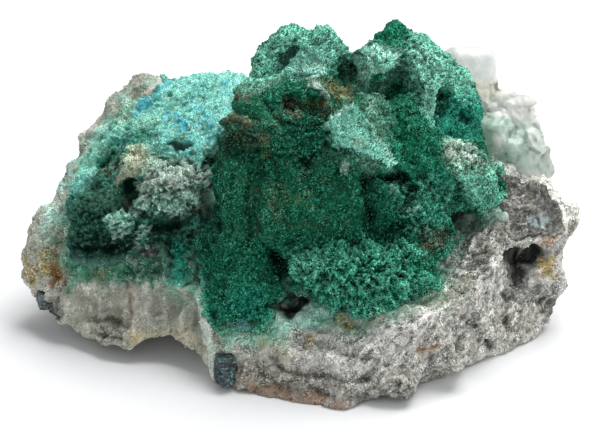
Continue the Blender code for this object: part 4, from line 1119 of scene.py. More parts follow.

# Host rock: grey-white granular rock with rust, green stains at the seams, and vugs darkened with painted
# shade
LOBE_HOLE = ((-2.6, -11.4), (-1.0, -10.8), (0.8, -10.6))
FRONT_CRACK = ((16.4, -17.8), (16.0, -19.6))
RIGHT_CRACK = ((25.6, -10.0), (28.4, -11.0), (31.0, -10.6))
FOOT_STAIN = ((-6.4, -20.6), (-2, -22.2), (3, -22.8), (6, -23.2), (5, -24.8), (-2, -24.4), (-7, -22.6))
RIGHT_END = (
    (17, -2), (22, 1), (27, 6), (36, 2), (36, -13), (24, -18), (10, -24), (4, -24), (6, -14), (14, -10),
)
RIGHT_FACE = (
    (17, -6), (22, -5), (26, -4), (32, -8), (32, -13), (24, -18), (10, -24), (4, -24), (6, -14), (14, -10),
)
LEFT_FOOT = ((-32, -9), (-26, -8), (-14, -7.6), (-10.5, -20), (-14, -20), (-20, -18), (-31, -14))
ROCK_STROKES = (
    # pale needles on the shelf
    (0.35, 0.40, ((26.0, -4.4), (24.0, -6.4), (22.0, -9.0), (20.0, -10.8), (16.0, -12.8), (10.0, -15.4))),
    (0.4, 0.30, ((24.2, -5.4), (23.2, -7.4), (21.4, -9.4))),
    (0.4, 0.30, ((18.6, -6.6), (18.2, -9.0))),
    (0.4, 0.30, ((23.4, -1.4), (21.6, -3.4), (20.4, -6.0))),
    # vug of the right end, and the hollow beside the lobe
    (-1.4, 1.10, ((26.8, -5.2), (27.8, -6.2), (27.8, -8.0))),
    (-1.2, 1.00, LOBE_HOLE),
    (-1.0, 0.90, ((28.2, -5.6), (29.6, -4.8))),
    # pits, cracks and steps
    (-0.6, 0.30, FRONT_CRACK),
    (-0.7, 0.50, ((21.4, -13.2), (22.4, -14.2))),
    (-0.6, 0.45, ((26.0, -12.6), (26.4, -14.4))),
    (-0.6, 0.50, ((22.8, -16.0), (24.8, -16.6))),
    (-0.5, 0.60, ((-26.6, -12.8), (-24.4, -12.8), (-22.6, -13.4))),
    (-0.5, 0.50, ((-26.4, -14.6), (-24.4, -15.0), (-22.4, -15.4))),
    (-0.4, 0.40, ((-25.4, -11.9), (-22.6, -11.9))),
    (0.8, 0.50, ((-12.7, -9.4), (-11.9, -12.6), (-10.9, -16.6), (-10.5, -20.0))),
    (-0.5, 0.60, ((-14.0, -9.8), (-13.4, -13.0), (-12.6, -17.0))),
    (-0.5, 0.40, ((-21.6, -8.6), (-21.4, -12.0), (-21.8, -14.0))),
    (-0.5, 0.50, ((-4.0, -18.6), (0.0, -19.4), (5.0, -20.6), (9.0, -20.4))),
    (-0.5, 0.50, ((2.0, -15.4), (6.6, -17.4), (11.0, -18.6))),
    (-0.5, 0.40, RIGHT_CRACK),
    (0.6, 0.60, ((-2.0, -16.8), (1.2, -17.2), (3.6, -17.6))),
    (0.9, 1.10, ((-4.0, -22.8), (0.0, -23.6), (6.0, -23.8))),
    (-0.6, 0.40, ((-3.6, -17.6), (-2.6, -19.4), (0.8, -20.0))),
    (-0.5, 0.35, ((13.4, -12.4), (14.8, -13.6))),
    (-0.5, 0.35, ((19.6, -16.0), (20.6, -17.6))),
)
ROCK_PAINT = (
    # left rim
    ("olive_rock", 0.7, 1.2, 0.8, (
        (-36, -9), (-35.5, 2), (-31, 7), (-23, 19), (-16, 19), (-24, 8), (-29, 0), (-30, -9),
    )),
    ("dull_rock", 0.7, 0.8, 0.8, ((-23.4, 14.6), (-22.6, 17.6), (-19.8, 18.6), (-18, 17), (-20.4, 15))),
    ("aqua", 0.5, 1.2, 0.8, (
        (-30.4, 1), (-28.6, 5), (-25, 10), (-21, 14), (-23, 8), (-27, 3), (-29.4, -2),
    )),
    ("rust", 1.0, 0.4, 0.8, (
        (-31.6, -4.2), (-30.4, -3.6), (-29.6, -6), (-29.2, -8.4), (-31.4, -8.8), (-31.4, -6.6),
    )),
    ("ochre", 0.8, 0.5, 0.8, ((-32.6, -4.4), (-31.2, -4.4), (-31.6, -7.8), (-32.6, -7.0))),
    ("ochre", 0.7, 0.5, 0.8, ((-34.8, -5.6), (-33.4, -6), (-33.2, -8.8), (-34.2, -9))),
    ("rust", 0.6, 0.4, 0.8, ((-30.6, -1.8), (-29.6, -1.6), (-29.2, -3.6), (-30.4, -3.6))),
    # lower left face
    ("olive_rock", 0.85, 0.8, 0.35, ((-31, -9.4), (-13, -7.4), (-10.6, -21), (-20, -19), (-32, -13))),
    ("pale_rock", 0.3, 0.5, 0.3, ((-22.4, -8), (-19, -8.4), (-18.6, -13.6), (-21.2, -14))),
    ("jade", 0.9, 0.8, 0.9, ((-30, -5), (-20, -6), (-14, -7.6), (-17, -9.4), (-22, -8.4), (-29, -9))),
    ("jade", 1.0, 0.5, 0.7, ((-28.6, -6.6), (-26.8, -6.4), (-26, -8.2), (-28, -8.6))),
    ("copper", 0.3, 0.4, 0.7, ((-26.2, -7.2), (-24.4, -6.8), (-24.2, -8.2), (-26.0, -8.4))),
    ("glassy", 0.9, 0.3, 0.5, (
        (-13.6, -9.2), (-12.1, -9.4), (-10.9, -14), (-9.9, -20.8), (-11.6, -19.4), (-12.4, -14),
    )),
    ("sand", 0.7, 0.5, 0.6, (
        (-22, -13.8), (-16, -14.2), (-14.4, -13.0), (-12.6, -16.6), (-14, -17.4), (-17.6, -15.6),
        (-21.4, -17.6),
    )),
    ("ochre", 0.5, 0.4, 0.6, ((-21.4, -14.6), (-19.2, -14.8), (-19.6, -16.4), (-21.2, -16.2))),
    ("dark_rock", 0.7, 0.5, 0.9, ((-26.4, -12.4), (-22.2, -11.8), (-21.8, -16.4), (-25.4, -16.4))),
    ("black_rock", 0.8, 0.4, 0.8, (
        (-33.2, -10.2), (-30.4, -10.4), (-29.8, -12.4), (-30.6, -13.2), (-32, -12.0),
    )),
    # dark green stain in the corridor between the green masses and under the left one, with painted shade in
    # the gap under the left one
    ("velvet", 0.95, 0.6, 0.8, (
        (-16, 11), (-9, 9), (-8.6, -6), (-13.0, -8.6), (-14.4, -4), (-12.0, 0), (-12.6, 5),
    )),
    ("shade_black", 0.9, 0.5, 1.0, (
        (-28.8, -3.0), (-21, -3.2), (-15.9, -3.0), (-16.0, -6.2), (-21, -5.7), (-28, -5.0),
    )),
    ("velvet", 0.95, 0.5, 1.0, (
        (-22.5, -5.4), (-16, -5.6), (-14.4, -8.6), (-17.8, -8.2), (-19.4, -7.2), (-22, -6.8),
    )),
    # front granular face
    ("rock", 0.5, 1.0, 1.0, (
        (-10.4, -15), (0, -12), (14, -9), (26, -3), (34, -3), (34, -14), (20, -22), (2, -26), (-10, -22),
    )),
    ("pale_rock", 0.7, 1.0, 1.0, (
        (-2.6, -15.6), (3, -15), (8, -12.6), (16, -11.6), (24, -5.8), (25.6, -10), (14, -15), (4, -18),
        (-2, -18),
    )),
    ("dull_rock", 0.8, 1.2, 1.0, (
        (-9.6, -17), (-2, -19.6), (8, -20), (14, -19.4), (15, -21), (4, -24.6), (-9, -22),
    )),
    ("olive_rock", 0.7, 0.8, 0.8, ((15, -7.6), (20, -6), (22, -8), (19, -10.6), (14, -12.6), (10, -12.4))),
    ("moss", 0.6, 0.6, 0.9, (
        (-10.6, -13.6), (-5, -14.0), (-1, -13.0), (-1, -14.6), (-5, -15.6), (-9.8, -15.4),
    )),
    ("stained", 0.6, 0.5, 0.8, (
        (-9, -14.8), (-5, -15.4), (-1, -13), (-1, -15.6), (-5, -16.8), (-9, -16.4),
    )),
    ("pale_mint", 1.0, 0.8, 0.8, (
        (0, -12), (6, -12), (12, -11.6), (16, -9.6), (19, -7.4), (19.4, -9), (14, -12.2), (6, -13.2),
        (0, -14.4),
    )),
    ("pale_mint", 0.7, 0.8, 0.8, (
        (-4.6, -8.4), (-1, -8.6), (3.8, -10.4), (6, -12.6), (1.4, -14.0), (-3.0, -15.2),
    )),
    # the front face grows darker towards the bottom
    ("dark_rock", 0.5, 0.6, 0.8, (
        (-9, -20.0), (-2, -21.6), (4, -22.4), (12, -21.6), (20, -19), (20, -21), (8, -25), (-9, -23),
    )),
    ("black_rock", 0.5, 0.8, 0.8, (
        (-9, -21.6), (4, -23.0), (14, -22.0), (22, -18.6), (22, -22), (8, -26), (-9, -24),
    )),
    ("umber", 0.35, 0.6, 0.8, FOOT_STAIN),
    ("copper", 0.35, 0.5, 0.8, FOOT_STAIN),
    ("rust", 0.3, 0.5, 0.8, ((-7.6, -19.6), (-5.4, -20.2), (-5.6, -21.8), (-7.6, -21.2))),
    ("cream", 0.8, 0.4, 1.0, ((7.4, -14.4), (8.6, -14.2), (9, -16.4), (7.8, -16.6))),
    ("pale_rock", 0.5, 0.5, 1.0, ((9.6, -17.4), (12, -17), (12.6, -19), (10, -19.4))),
    # right end
    ("rock", 0.7, 0.5, 1.2, (
        (24.4, 2.4), (26.2, 5.6), (27.6, 4.8), (30.2, 3.2), (33, 0.6), (32, -3), (26, -4.2), (21, -4.4),
        (19.4, -1.4), (22, 0.6),
    )),
    ("dark_rock", 0.8, 0.5, 1.1, ((25.6, 0.8), (29.2, 1.0), (28.6, -2.2), (25.6, -3.0), (23.6, -1.4))),
    ("dark_rock", 0.8, 1.0, 1.2, (
        (16, -5.0), (24.6, -4.4), (23.0, -8.0), (18.0, -11.4), (14.0, -12.0), (14.6, -8.4),
    )),
    ("black_rock", 0.85, 0.5, 1.2, ((19.2, -0.8), (22.4, -0.6), (23, -3), (20.6, -4.6), (17, -4.4))),
    ("dark_rock", 1.0, 0.8, 1.2, (
        (14.8, -5.4), (17.6, -4.0), (24, -3.6), (23.4, -7.0), (20, -9.0), (15, -9.4),
    )),
    ("umber", 0.6, 0.5, 1.2, ((14.4, -5.6), (17.6, -4.4), (20.6, -4.4), (19.4, -6.6), (16, -8.4))),
    ("umber", 0.9, 0.3, 1.0, ((13.4, -5.8), (15.6, -5.2), (16.0, -6.8), (13.6, -6.8))),
    # painted shade in the hole beside the lobe
    ("shade_black", 1.0, 0.35, 0.3, (
        (-3.4, -11.8), (-2.6, -10.2), (-0.6, -9.2), (1.4, -10.0), (1.4, -11.2), (-1.4, -12.6),
    )),
    # painted shade in the vug of the right end
    ("shade_black", 1.0, 0.4, 0.3, (
        (25.9, -4.4), (28.6, -4.8), (30.8, -4.2), (29.4, -7.2), (28.8, -9.0), (27, -9.2), (26.2, -7),
    )),
    # painted shade below the vug and along the crack under it
    ("black_rock", 0.8, 0.6, 1.0, ((25.6, -8.4), (30, -9), (29.6, -10.6), (26, -11))),
    ("copper", 0.8, 0.3, 0.9, ((30.0, -2.2), (32.2, -2.0), (31.8, -4.0), (30.2, -4.0))),
    ("ochre", 0.9, 0.4, 0.9, ((30.2, -5.6), (32, -5.4), (31.8, -7.8), (30.2, -7.6))),
    ("cream", 0.75, 0.6, 0.9, (
        (25.4, 6.0), (26.6, 7.4), (31, 6), (35, 1.6), (35.4, -1.4), (33.4, -1.4), (32.2, 0.8), (30, 3.4),
        (28, 4.8), (26.2, 5.6),
    )),
    ("ochre", 0.15, 0.3, 0.8, ((28.4, 5.6), (29.8, 5.4), (29.6, 4.2), (28.4, 4.6))),
    ("dull_rock", 0.4, 1.5, 1.0, ((19, -9), (31, -8.6), (31, -13), (27, -16.6), (18, -17.6), (17, -13))),
    ("dull_rock", 0.45, 1.0, 0.4, (
        (-28, -9), (-22, -8.8), (-14, -9), (-13.6, -13.6), (-22, -14), (-27, -13),
    )),
    # black spots are painted shade in three pits of the front face
    ("black_rock", 0.9, 0.35, 1.1, ((21.0, -13), (22.6, -12.8), (22.8, -14.4), (21.2, -14.6))),
    ("black_rock", 0.9, 0.35, 1.1, ((25.6, -12.2), (26.8, -12.4), (26.8, -14.4), (25.8, -14.6))),
    ("black_rock", 0.9, 0.35, 1.1, ((22.6, -15.6), (25, -15.6), (24.8, -16.8), (22.8, -16.8))),
    ("dark_rock", 0.9, 0.4, 1.1, ((30, -10), (33, -10.4), (32.4, -13), (30.4, -12.6))),
    # painted shade in a small pit
    ("dark_rock", 0.3, 0.3, 1.1, ((19.4, -16), (20.8, -16), (21, -17.6), (19.6, -17.8))),
)
ROCK_VEINS = (
    # near-black lines are painted shade in the hole beside the lobe and in the vug
    ("shade_black", 1.00, 1.0, LOBE_HOLE),
    ("shade_black", 1.10, 0.9, ((27.0, -5.4), (28.0, -6.6), (28.2, -8.2))),
    ("shade_black", 0.70, 0.8, ((28.4, -5.6), (30.0, -4.8))),
    ("black_rock", 1.50, 0.55, ((15.4, -7.0), (18.4, -6.0), (22.4, -5.0))),
    ("umber", 1.20, 0.5, ((20.4, -1.6), (19.0, -3.6), (17.0, -5.4))),
    ("umber", 1.40, 0.30, ((-6.4, -18.6), (-3.4, -19.6), (-0.4, -20.4), (2.0, -20.8))),
    ("ochre", 1.00, 0.45, ((-4.6, -16.4), (-2.6, -17.4), (-1.0, -18.0))),
    ("olive_rock", 1.40, 0.9, ((9.0, -13.0), (12.7, -11.6), (18.1, -10.1), (20.6, -8.4))),
    ("slate_green", 0.60, 0.6, ((8.0, -12.6), (12.7, -11.2), (17.4, -9.6))),
    # broad painted shade around the vug
    ("dark_rock", 1.80, 0.6, ((25.0, -3.8), (27.4, -6.0), (28.0, -9.0))),
    ("jade", 1.20, 0.5, ((-30.6, -4.0), (-30.2, 0.0), (-28.6, 3.4), (-26.2, 6.6))),
    ("aqua", 1.00, 0.5, ((-31.8, -2.0), (-31.2, 1.0), (-29.4, 5.0), (-25.6, 10.2), (-22.0, 14.0))),
    ("jade", 0.80, 0.6, ((-29.0, -7.0), (-26.0, -7.6), (-22.0, -8.0), (-18.0, -8.4))),
    ("dark_rock", 0.80, 0.6, ((16.0, -6.6), (18.6, -5.6), (22.0, -5.4))),
    ("umber", 0.50, 0.6, ((14.6, -6.0), (16.4, -6.4), (17.6, -7.8))),
    ("ochre", 0.80, 1.0, ((5.0, -13.0), (5.8, -13.4), (6.2, -13.8))),
    ("umber", 0.35, 1.0, ((5.6, -13.2), (6.0, -13.7))),
    ("ochre", 0.60, 0.9, ((1.1, -15.2), (1.0, -16.2))),
    ("copper", 0.45, 0.9, ((15.2, -17.1), (16.4, -16.7), (17.3, -16.3))),
    ("rust", 0.25, 0.9, ((15.3, -17.3), (16.0, -17.0))),
    ("copper", 0.35, 0.4, ((-2.0, -22.9), (0.6, -23.2), (3.6, -23.4))),
    ("rust", 0.35, 0.6, ((14.6, -5.0), (16.6, -5.4), (17.6, -4.8))),
    ("cream", 0.12, 0.8, ((26.9, -4.4), (24.6, -5.9), (22.6, -8.0), (20.4, -10.2), (17.2, -12.2))),
    ("cream", 0.12, 0.6, ((25.2, -6.4), (23.6, -8.4), (21.8, -10.6))),
    ("cream", 0.25, 0.6, ((18.8, -7.0), (18.3, -9.2))),
    ("pale_rock", 0.25, 0.5, ((23.4, -1.6), (21.8, -3.6), (20.6, -6.0))),
    # dark lines along the cracks are painted shade in them
    ("black_rock", 0.22, 0.6, FRONT_CRACK),
    ("dark_rock", 0.22, 0.6, ((12.0, -13.6), (13.8, -15.8), (14.4, -17.6))),
    ("dark_rock", 0.30, 0.6, RIGHT_CRACK),
    ("cream", 0.35, 0.7, ((-19.4, -8.6), (-19.2, -11.0), (-19.0, -13.4))),
    ("cream", 0.25, 0.5, ((-17.4, -9.0), (-17.0, -11.8), (-16.8, -13.6))),
    ("copper", 0.30, 0.4, ((-21.0, -9.0), (-21.2, -11.4), (-21.0, -13.2))),
    # black lines in the cracks of the lower left face are painted shade
    ("black_rock", 0.25, 0.7, ((-26.2, -13.2), (-24.4, -12.8), (-22.4, -13.0))),
    ("black_rock", 0.25, 0.7, ((-25.6, -15.0), (-24.0, -15.2), (-22.4, -15.6))),
    ("black_rock", 0.22, 0.5, ((-25.9, -14.2), (-24.2, -14.0), (-22.2, -14.3))),
)
ROCK_BANDS = (
    ("pale_rock", 46.0, 3.2, 0.6, 0.05, 0.6, RIGHT_FACE),
    ("dark_rock", 50.0, 2.4, 0.6, 0.15, 0.7, RIGHT_END),
    ("cream", 88.0, 5.0, 0.7, 0.15, 0.35, LEFT_FOOT),
    ("dull_rock", 84.0, 4.0, 0.9, 0.15, 0.35, LEFT_FOOT),
)
GREEN = ("brochantite_mass", "brochantite_crust_left")
ROCK = dict(
    PLAIN, voxel=ROCK_VOXEL, ease=4, seed=47.0, bias=-0.25, touch=0.15, ragged=-0.45, relief=0.9,
    neighbours=GREEN + ("quartz_crystals", "galena_front", "galena_left", "galena_right"),
    colour="rock",
    tones=(
        ("dull_rock", 4.0, 0.0, 0.6),
        ("pale_rock", 2.4, 0.1, 0.6),
        ("sand", 5.0, 0.15, 0.5),
        ("olive_rock", 3.1, 0.2, 0.5),
        ("dark_rock", 1.7, 0.30, 0.6),
    ),
    strokes=ROCK_STROKES, paint=ROCK_PAINT, veins=ROCK_VEINS, bands=ROCK_BANDS,
    seams=(("stained", GREEN, 0.5, 5.0, 0.6), ("sea", GREEN, 0.4, 2.6, 0.5), ("jade", GREEN, 0.3, 1.2, 0.8)),
    layers=(
        (3.2, 0.24, plain, 1.3),
        (4.2, 0.24, cracks, 3.9),
        (2.6, 0.26, flakes, 2.6),
        (2.0, 0.16, cracks, 6.1),
        (1.2, 0.14, flakes, 4.2),
        (0.7, 0.12, plain, 8.8),
    ),
    pit=0.5, deep=0.5, crest=0.2, swell=0.12, crest_highlight="cream", grit=0.1,
)

# Quartz crystals: a milky block on top and a paler green-stained cluster below it
QUARTZ_PAINT = (
    # clean top crystal with a creamy foot
    ("white", 1.0, 0.5, 0.08, ((17, 14.6), (17, 23), (26, 23), (25.4, 15.6), (23, 14.2))),
    ("bone", 0.6, 0.6, 0.4, ((20.8, 16.6), (24.8, 17.0), (25.6, 16.4), (25.2, 14.8), (22, 14.6))),
    ("umber", 0.7, 0.2, 0.4, ((24.2, 16.4), (24.8, 16.4), (24.9, 15.4), (24.4, 15.4))),
    # cluster
    ("white", 0.8, 0.6, 0.8, ((23, 14.0), (27.4, 14.8), (30.4, 13.4), (30.0, 11.0), (25, 11.6))),
    ("pale_mint", 0.5, 0.8, 1.0, ((24.4, 11.6), (27.6, 11.6), (29.4, 9), (29.0, 5.4), (26, 5.4))),
    ("frost", 0.7, 0.6, 0.8, ((28.2, 11.2), (30.6, 10.4), (31.4, 5.4), (28.8, 5.4))),
    ("lobe", 0.65, 1.0, 1.0, ((18, 13.6), (22.4, 13.4), (24.8, 11.8), (24.4, 8.6), (26.2, 6.6), (18, 5))),
)
QUARTZ = dict(
    PLAIN, voxel=CRYSTAL_VOXEL, ease=6, seed=61.0, bias=0.2, touch=0.4, ragged=0.2, relief=0.1,
    neighbours=("host_rock", "brochantite_mass"),
    colour="cream",
    tones=(("stained", 1.8, 0.1, 0.4), ("cream", 3.0, 0.0, 0.4)),
    paint=QUARTZ_PAINT,
    melt=((14, ((17, 15.4), (17, 22), (26, 22), (25.4, 16.4), (23, 15.4))),),
    seams=(("stained", ("brochantite_mass",), 0.4, 1.6, 0.7),),
    layers=((2.4, 0.8, flakes, 1.3), (1.1, 0.35, flakes, 4.2), (0.5, 0.08, plain, 7.2)),
    pit=0.15, deep=0.1, crest=0.2, swell=0.2, crest_highlight="white", bare=0.3,
)

# Right galena: dark facets with streaks in the right end of the rock
RIGHT_POCKET = ((20, -5), (20, 6), (35, 6), (35, -5))
SHARD_PAINT = (
    ("black_rock", 0.8, 0.3, 1.0, ((24.4, 4.8), (26.6, 4.6), (26.2, 2.2), (24.2, 1.4))),
    ("glint", 0.6, 0.25, 0.2, ((28.3, -0.2), (30.2, 0.0), (31.4, -0.6), (30.6, -1.8), (28.7, -1.6))),
    ("slate", 0.8, 0.3, 0.4, ((29.6, 2.6), (31.6, 1.4), (32.4, -0.4), (30.8, 0.6), (29.2, 1.0))),
)
SHARDS = dict(
    PLAIN, voxel=CRYSTAL_VOXEL, ease=1, seed=83.0, bias=0.0, touch=0.25, ragged=0.3, relief=1.0,
    neighbours=("host_rock",),
    colour="dark_rock",
    tones=(("black_rock", 1.6, 0.0, 0.6), ("dull_rock", 1.3, 0.2, 0.4)),
    paint=SHARD_PAINT,
    bands=(
        ("dull_rock", 66.0, 2.6, 0.40, 0.12, 0.5, RIGHT_POCKET),
        ("black_rock", 60.0, 2.4, 0.50, 0.10, 0.6, RIGHT_POCKET),
    ),
    seams=(("dull_rock", ("host_rock",), 0.3, 0.8, 0.6),),
    layers=((1.8, 0.3, flakes, 1.3), (0.8, 0.1, ridges, 4.2)),
    pit=0.5, deep=0.3, crest=0.1, swell=0.0, crest_highlight="rock",
)

# Front and left galena: blue-grey stepped cubes, sharper than the right facets
LOWER_LEFT = ((-34, -8), (-4, -8), (-4, -24), (-34, -24))
STEPS = dict(
    SHARDS, voxel=STEP_VOXEL, ease=0, touch=0.0, ragged=0.1,
    colour="slate_teal",
    tones=(("black_rock", 1.3, 0.1, 0.5),),
    paint=(),
    bands=(
        ("black_rock", 4.0, 3.0, 0.35, 0.0, 0.8, LOWER_LEFT),
        ("glint", 6.0, 2.0, 0.22, 0.30, 0.5, LOWER_LEFT),
    ),
    seams=(("dull_rock", ("host_rock",), 0.3, 0.8, 0.4),),
    layers=((1.6, 0.2, flakes, 1.3), (0.8, 0.1, flakes, 4.2)),
)


def add(tree, kind, inputs=(), **options):
    """Adds a node with its options, and sets or links its inputs by name or in order. Hex is a colour."""
    node = tree.nodes.new(kind)
    for key, value in options.items():
        setattr(node, key, value)
    for key, value in inputs.items() if isinstance(inputs, dict) else enumerate(inputs):
        socket = node.inputs[key]
        if isinstance(value, bpy.types.NodeSocket):
            tree.links.new(value, socket)
        elif socket.type == "RGBA":
            socket.default_value = (*linear(value), 1.0)
        else:
            socket.default_value = value
    return node


def crystal_field(name, size, tilt, material):
    """Node group that grows three-sided crystals over a skin, as dense as its cover says."""
    tree = bpy.data.node_groups.new(name, "GeometryNodeTree")
    for label, kind in (("Geometry", "Geometry"), ("Per square metre", "Float"), ("Seed", "Int")):
        tree.interface.new_socket(label, in_out="INPUT", socket_type="NodeSocket" + kind)
    tree.interface.new_socket("Geometry", in_out="OUTPUT", socket_type="NodeSocketGeometry")
    entry = tree.nodes.new("NodeGroupInput").outputs
    seed = entry["Seed"]
    cover = add(tree, "GeometryNodeInputNamedAttribute", {"Name": "cover"}, data_type="FLOAT").outputs[0]
    density = add(tree, "ShaderNodeMath", (entry["Per square metre"], cover), operation="MULTIPLY").outputs[0]
    spread = add(
        tree, "GeometryNodeDistributePointsOnFaces",
        {"Mesh": entry["Geometry"], "Density": density, "Seed": seed}, distribute_method="RANDOM",
    ).outputs
    shape = add(
        tree, "GeometryNodeMeshCone", {"Vertices": 3, "Radius Top": 0.0, "Radius Bottom": 0.5, "Depth": 1.0},
        fill_type="NGON",
    )
    turn = add(
        tree, "FunctionNodeRandomValue", {0: (-tilt, -tilt, -SPIN), 1: (tilt, tilt, SPIN), "Seed": seed},
        data_type="FLOAT_VECTOR",
    )
    spin = add(
        tree, "FunctionNodeRotateRotation", {"Rotation": spread["Rotation"], "Rotate By": turn.outputs[0]},
        rotation_space="LOCAL",
    )
    low, high = ([value * MM for value in ends] for ends in size)
    scale = add(tree, "FunctionNodeRandomValue", {0: low, 1: high, "Seed": seed}, data_type="FLOAT_VECTOR")
    placed = add(tree, "GeometryNodeInstanceOnPoints", {
        "Points": spread["Points"], "Instance": shape.outputs["Mesh"],
        "Rotation": spin.outputs[0], "Scale": scale.outputs[0],
    })
    shade = add(tree, "FunctionNodeRandomValue", {2: 0.0, 3: 1.0, "Seed": seed}, data_type="FLOAT").outputs[1]
    marked = add(
        tree, "GeometryNodeStoreNamedAttribute",
        {"Geometry": placed.outputs["Instances"], "Name": "shade", "Value": shade},
        data_type="FLOAT", domain="INSTANCE",
    )
    real = add(tree, "GeometryNodeRealizeInstances", {"Geometry": marked.outputs["Geometry"]})
    done = add(tree, "GeometryNodeSetMaterial", {"Geometry": real.outputs["Geometry"], "Material": material})
    add(tree, "NodeGroupOutput", (done.outputs["Geometry"],))
    return tree


def grains(name, host, count, size, tilt, seed, material):
    """Grows about a number of crystals on a skin, as one mesh of their own."""
    cover = np.empty(len(host.data.vertices), np.float32)
    host.data.attributes["cover"].data.foreach_get("value", cover)
    area = sum(p.area * cover[p.vertices[0]] for p in host.data.polygons)
    modifier = host.modifiers.new("grains", "NODES")
    modifier.node_group = crystal_field(name, size, tilt, material)
    sockets = modifier.node_group.interface.items_tree
    modifier[sockets["Per square metre"].identifier] = float(count / area)
    modifier[sockets["Seed"].identifier] = seed
    mesh = evaluated(host)
    host.modifiers.remove(modifier)
    return new_piece(name, mesh)


def new_material(name):
    """An empty material, its node tree and its object coordinates."""
    material = bpy.data.materials.new(name)
    material.use_nodes = True
    tree = material.node_tree
    tree.nodes.clear()
    return material, tree, add(tree, "ShaderNodeTexCoord").outputs["Object"]


def surfaced(material, inputs):
    """Ends a material with its surface."""
    surface = add(material.node_tree, "ShaderNodeBsdfPrincipled", inputs)
    add(material.node_tree, "ShaderNodeOutputMaterial", (surface.outputs[0],))
    return material


def pattern(tree, place, size, detail, span, change):
    """Noise with a real size in mm. Its levels from one end of the span to the other become the change."""
    cloud = add(tree, "ShaderNodeTexNoise", {"Vector": place, "Scale": 1 / (size * MM), "Detail": detail})
    return add(tree, "ShaderNodeMapRange", (cloud.outputs["Fac"], *span, *change)).outputs[0]


def mineral(name, grain, contrast, dark, light, bump, inputs):
    """A granular mineral skin: grain, clumps and patches of light and dark over the painted tint.

    The dark specks are painted shade in the gaps between grains; the light specks are partly pale grains and
    partly painted glints. Each kind has a colour, the noise level that it starts at, a strength, and the
    share of its colour over the skin's own tint. The contrasts are those of grain, clumps and patches.
    """
    material, tree, place = new_material(name)
    tint = add(tree, "ShaderNodeAttribute", attribute_name="tint").outputs["Color"]
    grit = add(tree, "ShaderNodeAttribute", attribute_name="grit").outputs["Fac"]
    specks = add(tree, "ShaderNodeAttribute", attribute_name="specks").outputs["Fac"]
    patchy = pattern(tree, place, CALM_SIZE, 2.0, CALM_LEVELS, CALM_GRIT)
    grit = add(tree, "ShaderNodeMath", (grit, patchy), operation="MULTIPLY").outputs[0]
    level = 0.0
    for size, detail, low, strength in (
        (grain, 1.0, 0.36, contrast[0]),
        (grain * CLUMP_WIDTH, 2.0, 0.34, contrast[1]),
        (PATCH_SIZE, 3.0, 0.32, contrast[2]),
    ):
        waves = pattern(tree, place, size, detail, (low, 1.0 - low), (-strength, strength))
        level = add(tree, "ShaderNodeMath", (level, waves), operation="ADD").outputs[0]
    level = add(tree, "ShaderNodeMath", (level, grit), operation="MULTIPLY").outputs[0]
    level = add(tree, "ShaderNodeMath", (level, 1.0), operation="ADD").outputs[0]
    level = add(tree, "ShaderNodeMath", (level, DARKEST), operation="MAXIMUM").outputs[0]
    colour = add(tree, "ShaderNodeVectorMath", {0: tint, 3: level}, operation="SCALE").outputs[0]
    for (hue, start, strength, share), size, detail, step, factor in (
        (dark, grain * DARK_WIDTH, 1.0, -SPECK_EDGE, SHADOW),
        (light, grain * PALE_WIDTH, 0.0, SPECK_EDGE, GLEAM),
    ):
        spots = pattern(tree, place, size, detail, (start, start + step), (0.0, strength))
        spots = add(tree, "ShaderNodeMath", (spots, grit), operation="MULTIPLY").outputs[0]
        toned = add(tree, "ShaderNodeVectorMath", {0: tint, 3: factor}, operation="SCALE").outputs[0]
        toned = add(tree, "ShaderNodeMix", {0: share, 6: toned, 7: hue}, data_type="RGBA").outputs[2]
        colour = add(tree, "ShaderNodeMix", {0: spots, 6: colour, 7: toned}, data_type="RGBA").outputs[2]
    dots = pattern(tree, place, DOT_SIZE, 1.0, DOT_LEVELS, (0.0, 1.0))
    dots = add(tree, "ShaderNodeMath", (dots, specks), operation="MULTIPLY").outputs[0]
    colour = add(tree, "ShaderNodeMix", {0: dots, 6: colour, 7: OCHRE_SPECK}, data_type="RGBA").outputs[2]
    fine = add(tree, "ShaderNodeTexNoise", {"Vector": place, "Scale": 1 / (grain * MM), "Detail": 1.0})
    rough = add(tree, "ShaderNodeBump", {
        "Height": fine.outputs["Fac"], "Strength": bump, "Distance": grain * MM * BUMP_DEPTH,
    })
    return surfaced(material, {"Base Color": colour, "Normal": rough.outputs[0], **inputs})


